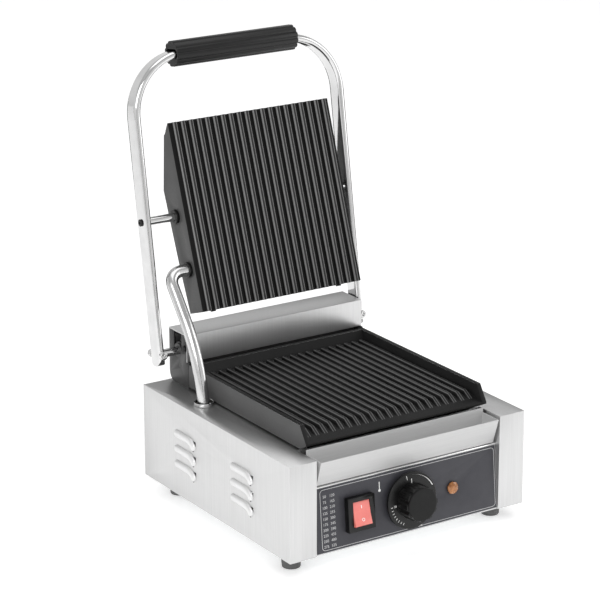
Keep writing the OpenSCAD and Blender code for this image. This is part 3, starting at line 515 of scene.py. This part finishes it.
def softened(node: str, name: str, width: float, body: Body, segments: int = 2, angle: float = 32.0,
             smooth: float = 35.0) -> bpy.types.Object:
    """Makes a copy of a CAD node whose sharp edges are rounded as the real ones are, and lets it stand for the node.

    Args:
        node: The CAD node.
        name: The new piece's name.
        width: The size of the rounding, in millimetres.
        body: The body it rides on.
        segments: Steps across the rounding.
        angle: Edges sharper than this many degrees are rounded.
        smooth: The steepest angle that is shaded smooth, in degrees.

    Returns:
        The new piece.
    """
    source = frame["nodes"][node]
    piece = bpy.data.objects.new(name, source.data.copy())
    bpy.context.scene.collection.objects.link(piece)
    only(piece)
    bpy.ops.object.mode_set(mode="EDIT")
    bpy.ops.mesh.select_all(action="SELECT")
    bpy.ops.mesh.remove_doubles(threshold=1e-6)
    bpy.ops.mesh.dissolve_limited(angle_limit=math.radians(0.5))
    bpy.ops.object.mode_set(mode="OBJECT")
    apply_modifier(
        piece, "BEVEL", width=width * MM, segments=segments, limit_method="ANGLE",
        angle_limit=math.radians(angle), use_clamp_overlap=True, harden_normals=False,
    )
    settle(piece, smooth=smooth)
    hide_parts(node)
    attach(piece, body.value)
    return piece


def on_panel(x: float, z: float, out: float = 0.0) -> Matrix:
    """The place on the control panel's face, in millimetres, for a piece modelled flat in X and Y facing +Z."""
    return (
        Matrix.Translation(CASING_FRONT + Vector((0.0, PANEL_FOOT * MM, 0.0)))
        @ Matrix.Rotation(-PANEL_LEAN, 4, "X")
        @ Matrix.Translation(Vector((x, -out, z)) * MM)
        @ Matrix.Rotation(math.radians(90), 4, "X")
    )


@dataclass
class Graphics:
    """Thin printed or moulded marks, modelled flat and laid on a face."""

    body: Body
    finish: Finish
    height: float

    def keep(self, piece: bpy.types.Object, name: str, place: Matrix) -> bpy.types.Object:
        """Thickens a flat mark, places it, dresses it and lets it ride.

        Args:
            piece: The flat mark, in X and Y.
            name: Its name.
            place: Where it goes.

        Returns:
            The mark.
        """
        piece.name = name
        only(piece)
        bpy.ops.object.transform_apply(location=True, rotation=True, scale=True)
        apply_modifier(piece, "SOLIDIFY", thickness=self.height * MM, offset=1.0)
        settle(piece, place)
        self.finish.dress(piece)
        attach(piece, self.body.value)
        return piece

    def bar(self, name: str, w: float, h: float, place: Matrix, corner: float = 0.2) -> bpy.types.Object:
        """Adds a plain bar of w by h millimetres with eased corners."""
        deselect()
        bpy.ops.mesh.primitive_plane_add(size=1.0)
        piece = bpy.context.object
        piece.scale = (w * MM, h * MM, 1.0)
        bpy.ops.object.transform_apply(scale=True)
        bpy.ops.object.mode_set(mode="EDIT")
        bpy.ops.mesh.select_all(action="SELECT")
        bpy.ops.mesh.bevel(affect="VERTICES", offset=corner * MM, segments=3)
        bpy.ops.object.mode_set(mode="OBJECT")
        return self.keep(piece, name, place)

    def ring(self, name: str, radius: float, width: float, place: Matrix) -> bpy.types.Object:
        """Adds a ring of that outer radius and line width, in millimetres."""
        deselect()
        bpy.ops.mesh.primitive_circle_add(vertices=48, radius=radius * MM, fill_type="NGON")
        piece = bpy.context.object
        bpy.ops.object.mode_set(mode="EDIT")
        bpy.ops.mesh.select_all(action="SELECT")
        bpy.ops.mesh.inset(thickness=width * MM)
        bpy.ops.mesh.delete(type="FACE")
        bpy.ops.object.mode_set(mode="OBJECT")
        return self.keep(piece, name, place)

    def frame_line(self, name: str, w: float, h: float, corner: float, width: float,
                   place: Matrix) -> bpy.types.Object:
        """Adds a line round a rectangle with rounded corners."""
        deselect()
        bpy.ops.mesh.primitive_plane_add(size=1.0)
        piece = bpy.context.object
        piece.scale = (w * MM, h * MM, 1.0)
        bpy.ops.object.transform_apply(scale=True)
        bpy.ops.object.mode_set(mode="EDIT")
        bpy.ops.mesh.select_all(action="SELECT")
        bpy.ops.mesh.bevel(affect="VERTICES", offset=corner * MM, segments=8)
        bpy.ops.mesh.select_all(action="SELECT")
        bpy.ops.mesh.inset(thickness=width * MM)
        bpy.ops.mesh.delete(type="FACE")
        bpy.ops.object.mode_set(mode="OBJECT")
        return self.keep(piece, name, place)

    def growing_arc(self, name: str, radius: float, growth: float, place: Matrix) -> bpy.types.Object:
        """Adds a quarter arc that starts as a point at the top and widens clockwise."""
        deselect()
        bpy.ops.mesh.primitive_circle_add(vertices=96, radius=radius * MM, fill_type="NOTHING")
        piece = only(bpy.context.object)
        pick_points(piece, lambda p: p.x < -1e-5 or p.y < radius * MM * 0.4)
        bpy.ops.mesh.delete(type="VERT")
        bpy.ops.mesh.select_all(action="SELECT")
        bpy.ops.mesh.extrude_edges_move()
        bpy.ops.transform.resize(
            value=(growth, growth, 1.0), center_override=(0.0, radius * MM, 0.0), orient_type="GLOBAL"
        )
        bpy.ops.mesh.select_all(action="SELECT")
        bpy.ops.mesh.normals_make_consistent(inside=False)
        bpy.ops.object.mode_set(mode="OBJECT")
        if sum(face.normal.z for face in piece.data.polygons) < 0:
            piece.data.flip_normals()
        return self.keep(piece, name, place)

    def words(self, name: str, text: str, size: float, place: Matrix, spacing: float = 1.0) -> bpy.types.Object:
        """Adds generic numbers of a size in millimetres, one under the other where the text has lines."""
        deselect()
        bpy.ops.object.text_add()
        piece = bpy.context.object
        piece.data.body = text
        piece.data.size = size * MM
        piece.data.align_x = "CENTER"
        piece.data.align_y = "CENTER"
        piece.data.space_line = spacing
        bpy.ops.object.convert(target="MESH")
        return self.keep(bpy.context.object, name, place)


@dataclass
class Casing:
    """The folded stainless casing with its pressed louvres, deck, back, base and feet."""

    hood_len: float = 44.0
    hood_high: float = 4.6
    hood_out: float = 2.95
    wall_x: float = -145.0
    starts: tuple[float, ...] = (66.0, 178.0)
    tops: tuple[float, ...] = (74.0, 57.0, 40.0)
    bends: tuple[float, ...] = (12.0, 9.0, 6.0, 3.0)
    bend_turn: float = math.radians(-10.0)
    mouth_radius: float = 0.95
    mouth_depth: float = 0.5
    mouth_shift: tuple[float, float, float] = (-0.2, 0.5, -0.1)

    def panels(self) -> None:
        """Rounds the folds of the sheet parts and brushes them."""
        for node, finish, width in (
            ("side_casing_left", STAINLESS_UPRIGHT, 0.7),
            ("side_casing_right", STAINLESS_UPRIGHT, 0.7),
            ("rear_panel", STAINLESS_UPRIGHT, 0.3),
            ("deck_plate", STAINLESS_DEEP, 0.3),
            ("base_plate", GALVANISED, 0.3),
        ):
            finish.dress(softened(node, node + "_sheet", width, Body.BASE))

    def hood(self) -> bpy.types.Object:
        """Models one pressed hood: a half capsule whose front end curls down.

        Returns:
            The hood, its wall face at x = 0, its upper rear end at y = hood_len and its top at z = 0.
        """
        deselect()
        radius = self.hood_high
        bpy.ops.mesh.primitive_uv_sphere_add(
            segments=20, ring_count=12, radius=radius * MM, rotation=(math.radians(90), 0.0, 0.0)
        )
        piece = only(bpy.context.object)
        bpy.ops.object.transform_apply(rotation=True)
        pick_points(piece, lambda p: p.y > 1e-5)
        bpy.ops.transform.translate(value=(0.0, (self.hood_len - 2 * radius) * MM, 0.0))
        for bend_y in self.bends:
            bpy.ops.mesh.select_all(action="SELECT")
            bpy.ops.mesh.bisect(plane_co=(0.0, bend_y * MM, 0.0), plane_no=(0.0, 1.0, 0.0))
            pick_points(piece, lambda p: p.y < (bend_y - 0.01) * MM)
            bpy.ops.transform.rotate(
                value=self.bend_turn, orient_axis="X", orient_type="GLOBAL",
                center_override=(0.0, bend_y * MM, 0.0),
            )
        bpy.ops.mesh.select_all(action="SELECT")
        bpy.ops.transform.resize(value=(self.hood_out / radius, 1.0, 1.0), center_override=(0.0, 0.0, 0.0))
        bpy.ops.mesh.bisect(plane_co=(0.0, 0.0, 0.0), plane_no=(1.0, 0.0, 0.0), clear_outer=True)
        bpy.ops.object.mode_set(mode="OBJECT")
        return settle(piece, Matrix.Translation((0.0, radius * MM, -radius * MM)), 60.0)

    def mouth(self) -> bpy.types.Object:
        """Models the shade in the small mouth under a hood's front end as a shallow dished disc facing -X, dark as
        painted shade.
        """
        deselect()
        bpy.ops.mesh.primitive_cylinder_add(
            vertices=20, radius=self.mouth_radius * MM, depth=self.mouth_depth * MM,
            rotation=(0.0, math.radians(90), 0.0),
        )
        piece = only(bpy.context.object)
        bpy.ops.object.transform_apply(rotation=True)
        pick_faces(piece, lambda c, n: n.x < -0.9)
        bpy.ops.mesh.inset(thickness=0.25 * MM)
        bpy.ops.transform.translate(value=(0.2 * MM, 0.0, 0.0))
        return settle(piece)

    def louvres(self) -> None:
        """Copies the hood to both sides, with a dark disc of painted shade in the mouth at each one's lower front
        end.
        """
        pattern = self.hood()
        spot = self.mouth()
        aside, ahead, lower = self.mouth_shift
        low_z = min(p.co.z for p in pattern.data.vertices)
        low_y = min((p.co for p in pattern.data.vertices if p.co.z < low_z + 0.4 * MM), key=lambda c: c.z).y
        for side, sign in (("left", 1.0), ("right", -1.0)):
            # The hoods' lighter stainless is painted highlight.
            for kind, source, finish in (("hoods", pattern, HOODS_PAINTED_HIGHLIGHT), ("mouth_shades", spot, SLOT_PAINTED_SHADE)):
                copies = []
                for start in self.starts:
                    for top in self.tops:
                        copy = source.copy()
                        copy.data = source.data.copy()
                        bpy.context.scene.collection.objects.link(copy)
                        place = CASING_FRONT + Vector((self.wall_x, start, top)) * MM
                        # The mouth discs are painted shade.
                        if kind == "mouth_shades":
                            place += Vector((aside * MM, low_y + ahead * MM, low_z + lower * MM))
                        copy.data.transform(Matrix.Translation(place))
                        copy.data.transform(Matrix.Diagonal((sign, 1.0, 1.0, 1.0)))
                        if sign < 0:
                            copy.data.flip_normals()
                        copies.append(copy)
                deselect()
                for copy in copies:
                    copy.select_set(True)
                bpy.context.view_layer.objects.active = copies[0]
                bpy.ops.object.join()
                joined = bpy.context.object
                joined.name = f"louvre_{kind}_{side}"
                finish.dress(joined)
                if kind == "hoods":
                    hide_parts("louvre_hoods")
                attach(joined, Body.BASE.value)
        for source in (pattern, spot):
            bpy.data.objects.remove(source)

    def fittings(self) -> None:
        """Dresses the feet, the screws, the gland and the ring round the conduit's hole."""
        FOOT_RUBBER.dress(softened("rubber_feet", "foot_pads", 0.8, Body.BASE, 3))
        ZINC.dress(frame["nodes"]["foot_screws"])
        BLACK_PLASTIC.dress(softened("cable_gland", "gland_body", 0.6, Body.BASE), frame["nodes"]["gland_nut"])
        CHROME.dress(softened("conduit_grommet", "conduit_ring", 1.1, Body.BASE, 5, smooth=60))

    def build(self) -> None:
        """Builds the casing."""
        self.panels()
        self.louvres()
        self.fittings()
        LOG.info("casing done")


@dataclass
class ControlPanel:
    """The leaning panel: printed film, rocker, thermostat knob and pilot lamp."""

    rocker: tuple[float, float] = (-61.0, 36.0)
    knob: tuple[float, float] = (1.0, 36.0)
    lamp: tuple[float, float] = (56.0, 36.0)
    lip_from_m: float = 0.0872
    lip_deep_m: float = 0.0095
    rocker_pivot_out: float = -5.0
    rocker_rest: float = math.radians(-12.5)
    rocker_mark_off: float = 6.6
    rocker_mark_out: float = 3.0
    rocker_bow: float = 0.064
    skirt_out: float = 7.12
    # The CAD grip's face, and how far the visible grip's face lies inside it
    knob_out: float = 30.0
    cap_sunk: float = 5.4
    arc_radius: float = 27.2
    tick_radius: float = 25.6
    number_radius: float = 21.6
    pointer_radius: float = 21.0
    first_tick: float = 103.0
    ticks: tuple[float, ...] = (186.0, 194.0, 202.0, 210.0, 218.0, 226.0, 234.0, 242.0)
    cap_radius: float = 17.4
    cap_thick: float = 1.4
    cap_rim: float = 1.6
    cap_slope: float = 9.6
    lamp_radius: float = 6.6

    def sheet(self) -> None:
        """Dresses the steel panel and its film, and prints the film."""
        sheet = softened("control_panel", "panel_sheet", 0.3, Body.BASE)
        STAINLESS_ACROSS.dress(sheet)
        CHROME.touch(sheet, lambda c, n: c.z > self.lip_from_m and c.y < CASING_FRONT.y + self.lip_deep_m)
        PANEL_FILM.dress(softened("panel_overlay", "panel_film", 0.12, Body.BASE))
        print_white = Graphics(Body.BASE, WHITE_INK, INK)
        mark = on_panel(-34.0, 57.0)
        for part, wide, high, up, corner in (("bulb", 3.0, 3.0, -4.4, 1.45), ("stem", 0.9, 8.4, 0.6, 0.4)):
            place = mark @ Matrix.Translation((0, up * MM, 0))
            print_white.bar(f"thermometer_{part}", wide, high, place, corner)
        grey = Graphics(Body.BASE, GREY_INK, INK)
        grey.frame_line("film_border", 216.4, 64.0, 4.0, 0.5, on_panel(2.4, 36.0))
        for name, x, first, step in (("cool", -100.5, 50, 25), ("warm", -91.5, 120, 45)):
            rows = "\n".join(str(first + step * i) for i in range(10))
            grey.words(f"number_column_{name}", rows, 4.1, on_panel(x, 34.0), 1.42)

    def switch(self) -> None:
        """Builds the rocker and its housing, and marks on and off."""
        BLACK_PLASTIC.dress(softened("rocker_housing", "rocker_bezel", 0.8, Body.BASE, 3))
        ROCKER_RED.dress(softened("rocker_button", "rocker_face", 0.7, Body.ROCKER, 3))
        x, z = self.rocker
        tilt = (
            Matrix.Translation(CASING_FRONT + Vector((0.0, PANEL_FOOT * MM, 0.0)))
            @ Matrix.Rotation(-PANEL_LEAN, 4, "X")
            @ Matrix.Translation(Vector((x, self.rocker_pivot_out, z)) * MM)
            @ Matrix.Rotation(self.rocker_rest, 4, "X")
            @ Matrix.Rotation(math.radians(90), 4, "X")
        )
        marks = Graphics(Body.ROCKER, WHITE_INK, 0.15)
        above, below = (
            tilt
            @ Matrix.Translation((0, way * self.rocker_mark_off * MM, self.rocker_mark_out * MM))
            @ Matrix.Rotation(way * self.rocker_bow, 4, "X")
            for way in (1, -1)
        )
        marks.bar("rocker_on_mark", 0.8, 3.4, above)
        marks.ring("rocker_off_mark", 1.7, 0.55, below)

    def grip(self) -> None:
        """Builds the knob's skirt and its scalloped grip, whose face is drawn in from the CAD grip's."""
        BLACK_PLASTIC.dress(softened("knob_skirt", "dial_skirt", 0.7, Body.KNOB, 3))
        grip = softened("knob_grip", "dial_grip", 0.9, Body.KNOB, 3)
        place = on_panel(*self.knob)
        to_face = place.inverted()
        pick_points(grip, lambda p: (to_face @ p).z > 20.0 * MM)
        inward = place.to_3x3() @ Vector((0.0, 0.0, -self.cap_sunk * MM))
        bpy.ops.transform.translate(value=inward)
        bpy.ops.object.mode_set(mode="OBJECT")
        BLACK_PLASTIC.dress(grip)
        ZINC.dress(frame["nodes"]["thermostat_spindle"])

    def scale(self, face: Matrix) -> None:
        """Prints the heat arc, the ticks and the number on the skirt, whose middle is at face."""
        marks = Graphics(Body.KNOB, WHITE_INK, 0.06)
        marks.growing_arc("heat_arc", self.arc_radius, 1.075, face)
        for i, degrees in enumerate((self.first_tick, *self.ticks)):
            turn = Matrix.Rotation(math.radians(degrees), 4, "Z")
            length = 4.6 if i == 0 else 2.4
            place = face @ turn @ Matrix.Translation((self.tick_radius * MM, 0, 0))
            marks.bar(f"dial_tick_{i}", length, 0.5, place, 0.1)
        angle = math.radians(self.ticks[0])
        reach = self.number_radius * MM
        spot = Matrix.Translation((reach * math.cos(angle), reach * math.sin(angle), 0))
        marks.words("dial_number", "70", 3.4, face @ spot)

    def cap(self, top: Matrix) -> None:
        """Builds the dished cap on the grip's face, whose middle is at top."""
        deselect()
        bpy.ops.mesh.primitive_cylinder_add(
            vertices=64, radius=self.cap_radius * MM, depth=self.cap_thick * MM
        )
        cap = only(bpy.context.object)
        pick_faces(cap, lambda c, n: n.z > 0.9)
        for inset, rise in ((self.cap_rim, 0.25), (self.cap_slope, -0.5)):
            bpy.ops.mesh.inset(thickness=inset * MM)
            bpy.ops.transform.translate(value=(0.0, 0.0, rise * MM))
        bpy.ops.object.mode_set(mode="OBJECT")
        apply_modifier(cap, "BEVEL", width=0.2 * MM, segments=2, limit_method="ANGLE")
        cap.name = "dial_cap"
        settle(cap, top @ Matrix.Translation((0, 0, -0.75 * MM)))
        BLACK_OXIDE.dress(cap)
        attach(cap, Body.KNOB.value)

    def dial(self) -> None:
        """Builds the thermostat knob with its marks, and the index below it."""
        self.grip()
        x, z = self.knob
        face = on_panel(x, z, self.skirt_out)
        self.scale(face)
        top = on_panel(x, z, self.knob_out - self.cap_sunk + 1.0)
        self.cap(top)
        pointer = Graphics(Body.KNOB, WHITE_INK, INK)
        pointer.bar("dial_pointer", 0.9, 4.4, face @ Matrix.Translation((0, self.pointer_radius * MM, 0)))
        # These two lie about 0.1 mm under the cap's dish, so they don't show
        under = top @ Matrix.Translation((0, 0, -0.5 * MM))
        ring = Graphics(Body.KNOB, GREY_INK, 0.1)
        ring.ring("dial_cap_ring", 4.6, 0.8, under)
        ring.bar("dial_cap_mark", 0.7, 3.0, under)
        index = Graphics(Body.BASE, WHITE_INK, INK)
        deselect()
        bpy.ops.mesh.primitive_circle_add(vertices=3, radius=3.0 * MM, fill_type="NGON")
        index.keep(bpy.context.object, "dial_index", on_panel(14.5, 5.2))

    def pilot(self) -> None:
        """Builds the pilot lamp: black body and a faceted amber jewel."""
        BLACK_PLASTIC.dress(softened("pilot_lamp_body", "lamp_body", 0.25, Body.BASE))
        x, z = self.lamp
        deselect()
        bpy.ops.mesh.primitive_cylinder_add(vertices=10, radius=self.lamp_radius * MM, depth=1.4 * MM)
        jewel = only(bpy.context.object)
        for grow, rise in ((1.5, 1.3), (1.9, 0.7)):
            pick_faces(jewel, lambda c, n: n.z > 0.95)
            bpy.ops.mesh.inset(thickness=grow * MM)
            bpy.ops.transform.translate(value=(0.0, 0.0, rise * MM))
        bpy.ops.object.mode_set(mode="OBJECT")
        apply_modifier(
            jewel, "BEVEL", width=0.12 * MM, segments=2, limit_method="ANGLE", angle_limit=math.radians(12)
        )
        jewel.name = "lamp_jewel"
        settle(jewel, on_panel(x, z, 1.3), 12.0)
        AMBER.dress(jewel)
        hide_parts("pilot_lens")
        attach(jewel, Body.BASE.value)

    def build(self) -> None:
        """Builds the control panel."""
        self.sheet()
        self.switch()
        self.dial()
        self.pilot()
        LOG.info("control panel done")


@dataclass
class Hearth:
    """The lower plate, the tray in front of it and what is under it. Places are in metres."""

    rib_from: float = 0.134
    rib_to: float = 0.1393
    rib_half: float = 0.1066
    rim_from: float = 0.145
    wall_from: float = 0.111

    def build(self) -> None:
        """Dresses the plate, the tray and the works under the deck."""
        griddle = softened("lower_plate", "lower_griddle", 0.7, Body.BASE, 2, 25)
        IRON.dress(griddle)
        # The rib faces get painted highlight lines at their edges and painted shade in the valleys.
        LOWER_RIBS.touch(
            griddle, lambda c, n: n.z > 0.3 and self.rib_from < c.z < self.rib_to and abs(c.x) < self.rib_half
        )
        # The sloped rim faces get near-white iron as painted highlight.
        RIM_PAINTED_HIGHLIGHT.touch(griddle, lambda c, n: 0.3 < n.z < 0.95 and c.z > self.rim_from)
        # The outer side walls get lighter iron as painted light.
        WALL_IRON_PAINTED_LIGHT.touch(griddle, lambda c, n: abs(n.x) > 0.97 and abs(c.x) > self.wall_from)
        TRAY_SHEET.dress(softened("drip_tray", "drip_tray_sheet", 0.25, Body.TRAY))
        nodes = frame["nodes"]
        ZINC.dress(nodes["lower_plate_bolts"])
        SHEATH.dress(nodes["lower_heater"])
        GALVANISED.dress(nodes["lower_clamp_plate"])
        FIBRE.dress(nodes["lower_insulation"])
        CERAMIC.dress(nodes["thermostat_body"], nodes["terminal_block"])
        COPPER.dress(nodes["thermostat_bulb"])
        SLEEVE.dress(nodes["wiring_loom"])
        LOG.info("lower plate and tray done")


@dataclass
class HingeHousing:
    """The black side plates and the stainless cover that hold the lid's shaft."""

    def build(self) -> None:
        """Dresses the housing and the shaft's stop and springs."""
        for side in ("left", "right"):
            BLACK_STEEL.dress(softened(f"hinge_side_{side}", f"hinge_cheek_{side}", 0.35, Body.BASE))
        STAINLESS_UPRIGHT.dress(softened("hinge_cover", "hinge_hood", 0.5, Body.BASE, 3))
        BLACK_OXIDE.dress(softened("hinge_screws", "hinge_buttons", 0.4, Body.BASE, 3))
        nodes = frame["nodes"]
        BLACK_STEEL.dress(nodes["shaft_bushes"], nodes["lid_stop_bar"])
        SPRING_STEEL.dress(nodes["balance_springs"])
        LOG.info("hinge housing done")


@dataclass
class LidFrame:
    """The bent chrome tube with its fluted grip, shaft, bolts and stub pins."""

    def build(self) -> None:
        """Dresses the frame and rounds its grip and fasteners."""
        nodes = frame["nodes"]
        CHROME.dress(nodes["handle_frame"], nodes["lid_shaft"], nodes["stub_pins"])
        GRIP_PLASTIC.dress(softened("handle_grip", "fluted_grip", 0.6, Body.LID, 3))
        BLACK_OXIDE.dress(softened("pin_screws", "pin_buttons", 0.35, Body.LID))
        CHROME.dress(
            softened("clamp_bolts", "clamp_bolt_heads", 0.35, Body.LID),
            softened("clamp_nuts", "dome_nuts", 0.25, Body.LID),
        )
        ZINC.dress(nodes["stop_lever"])
        LOG.info("lid frame done")


@dataclass
class PressPlate:
    """The ribbed upper plate, its back cover and what is between them."""

    lean: float = math.radians(70.73)
    # Left and right ends of the ribs and of the plate's walls, in metres
    ribs: tuple[float, float] = (-0.0965, 0.1025)
    walls: tuple[float, float] = (-0.0972, 0.1032)

    def build(self) -> None:
        """Dresses the plate."""
        griddle = softened("upper_plate", "upper_griddle", 0.8, Body.PRESS, 2, 25)
        facing = Vector((0.0, -math.sin(self.lean), math.cos(self.lean)))
        IRON.dress(griddle)
        # The rib faces get painted highlight lines at their edges and painted shade in the valleys.
        UPPER_RIBS.touch(
            griddle, lambda c, n: n.dot(facing) > 0.25 and self.ribs[0] < c.x < self.ribs[1]
        )
        # The outer side walls get lighter iron as painted light.
        WALL_IRON_PAINTED_LIGHT.touch(
            griddle, lambda c, n: abs(n.x) > 0.97 and not self.walls[0] < c.x < self.walls[1]
        )
        BLACK_STEEL.dress(softened("upper_cover", "upper_back", 0.5, Body.PRESS))
        BLACK_PLASTIC.dress(
            softened("pin_bushes", "pin_collars", 0.5, Body.PRESS, 3),
            softened("conduit_collar", "conduit_boss", 0.5, Body.PRESS, 3),
        )
        nodes = frame["nodes"]
        ZINC.dress(softened("cover_screws", "cover_buttons", 0.5, Body.PRESS, 3))
        BLACK_OXIDE.dress(nodes["rear_edge_screws"])
        SHEATH.dress(nodes["upper_heater"])
        GALVANISED.dress(nodes["upper_clamp_plate"])
        FIBRE.dress(nodes["upper_insulation"])
        LOG.info("press plate done")


@dataclass
class Conduit:
    """The chrome tube that carries the upper plate's wires."""

    def build(self) -> None:
        """Dresses the tube."""
        SATIN_CHROME.dress(frame["nodes"]["conduit_tube"])
        LOG.info("conduit done")


@dataclass
class Studio:
    """A pale floor, soft lamps and the camera."""

    azimuth: float = 0.578
    fall: float = 0.316
    roll: float = -0.0021
    stand: tuple[float, float, float] = (-1426.5, -1983.5, 1048.0)
    lens: float = 155.6
    room_light: float = 0.86

    def floor(self) -> None:
        """Lays a pale floor with the faintest unevenness."""
        deselect()
        bpy.ops.mesh.primitive_plane_add(size=16.0, location=(0.0, 4.0, 0.0))
        ground = bpy.context.object
        ground.name = "floor"
        settle(ground)
        pale = PaleFloor("pale_floor", "brushed_casing", "#FBFBFB", "#F8F8F8", 0.7, 0.0, 0.0)
        ground.data.materials.append(pale.material())

    def lamp(self, name: str, place: tuple[float, float, float], size: tuple[float, float], power: float) -> None:
        """Hangs a soft lamp that faces the grill.

        Args:
            name: The lamp's name.
            place: Where it hangs, in metres.
            size: Its width and height, in metres.
            power: Its power in watts.
        """
        light = bpy.data.lights.new(name, "AREA")
        light.shape = "RECTANGLE"
        light.size, light.size_y = size
        light.energy = power
        lamp = bpy.data.objects.new(name, light)
        bpy.context.scene.collection.objects.link(lamp)
        lamp.location = place
        lamp.rotation_euler = (Vector((0.0, 0.0, 0.2)) - Vector(place)).to_track_quat("-Z", "Y").to_euler()

    def card(self, name: str, place: tuple[float, float, float], size: tuple[float, float]) -> None:
        """Stands a black card that only reflections see."""
        deselect()
        turn = (Vector((0.0, 0.0, 0.25)) - Vector(place)).to_track_quat("Z", "Y").to_euler()
        bpy.ops.mesh.primitive_plane_add(size=1.0, location=place, rotation=turn)
        card = bpy.context.object
        card.name = name
        card.scale = (size[0], size[1], 1.0)
        settle(card)
        black = Finish("black_card", "black_steel", "#101010", "#0C0C0C", 0.9, 0.0, 0.0)
        card.data.materials.append(black.material())
        card.visible_camera = False
        card.visible_shadow = False
        card.visible_diffuse = False

    def sky(self) -> None:
        """Surrounds the scene with a pale room, brighter near the horizon."""
        world = bpy.data.worlds.new("studio_room")
        bpy.context.scene.world = world
        world.use_nodes = True
        tree = world.node_tree
        background = tree.nodes["Background"]
        place = add_node(tree, "ShaderNodeTexCoord")
        apart = add_node(tree, "ShaderNodeSeparateXYZ", links={0: place.outputs["Generated"]})
        room = ramp(
            tree, apart.outputs["Z"],
            [(0.0, "#F4F4F4"), (0.14, "#FFFFFF"), (0.4, "#F4F4F4"), (0.6, "#C6C6C6"), (1.0, "#E6E6E6")],
        )
        tree.links.new(room, background.inputs["Color"])
        background.inputs["Strength"].default_value = self.room_light

    def camera(self) -> None:
        """Sets the camera."""
        data = bpy.data.cameras.new("camera")
        data.lens = self.lens
        data.sensor_width = 36.0
        data.clip_end = 100.0
        camera = bpy.data.objects.new("camera", data)
        bpy.context.scene.collection.objects.link(camera)
        way = Vector((
            math.sin(self.azimuth) * math.cos(self.fall), math.cos(self.azimuth) * math.cos(self.fall),
            -math.sin(self.fall),
        ))
        turn = way.to_track_quat("-Z", "Y").to_matrix().to_4x4() @ Matrix.Rotation(self.roll, 4, "Z")
        camera.matrix_world = Matrix.Translation(CASING_FRONT + Vector(self.stand) * MM) @ turn
        bpy.context.scene.camera = camera

    def build(self) -> None:
        """Builds the studio."""
        self.floor()
        self.sky()
        self.lamp("key_softbox", (-1.6, -1.2, 1.5), (1.6, 1.2), 16.0)
        self.lamp("top_softbox", (0.2, 0.1, 2.3), (1.8, 1.8), 11.0)
        self.lamp("right_softbox", (1.8, -1.0, 0.9), (0.9, 1.4), 7.0)
        self.card("card_behind", (0.46, 0.71, 0.16), (2.6, 0.3))
        self.card("card_left", (-1.0, -2.6, 0.6), (0.35, 1.6))
        self.camera()
        bpy.context.scene.view_settings.view_transform = "Standard"
        LOG.info("studio done")


def main() -> None:
    """Builds the grill's parts in order, then the studio."""
    logging.basicConfig(level=logging.INFO, format="%(name)s: %(message)s")
    for part in (Casing(), ControlPanel(), Hearth(), HingeHousing(), LidFrame(), PressPlate(), Conduit(), Studio()):
        part.build()


if __name__ == "__main__":
    main()
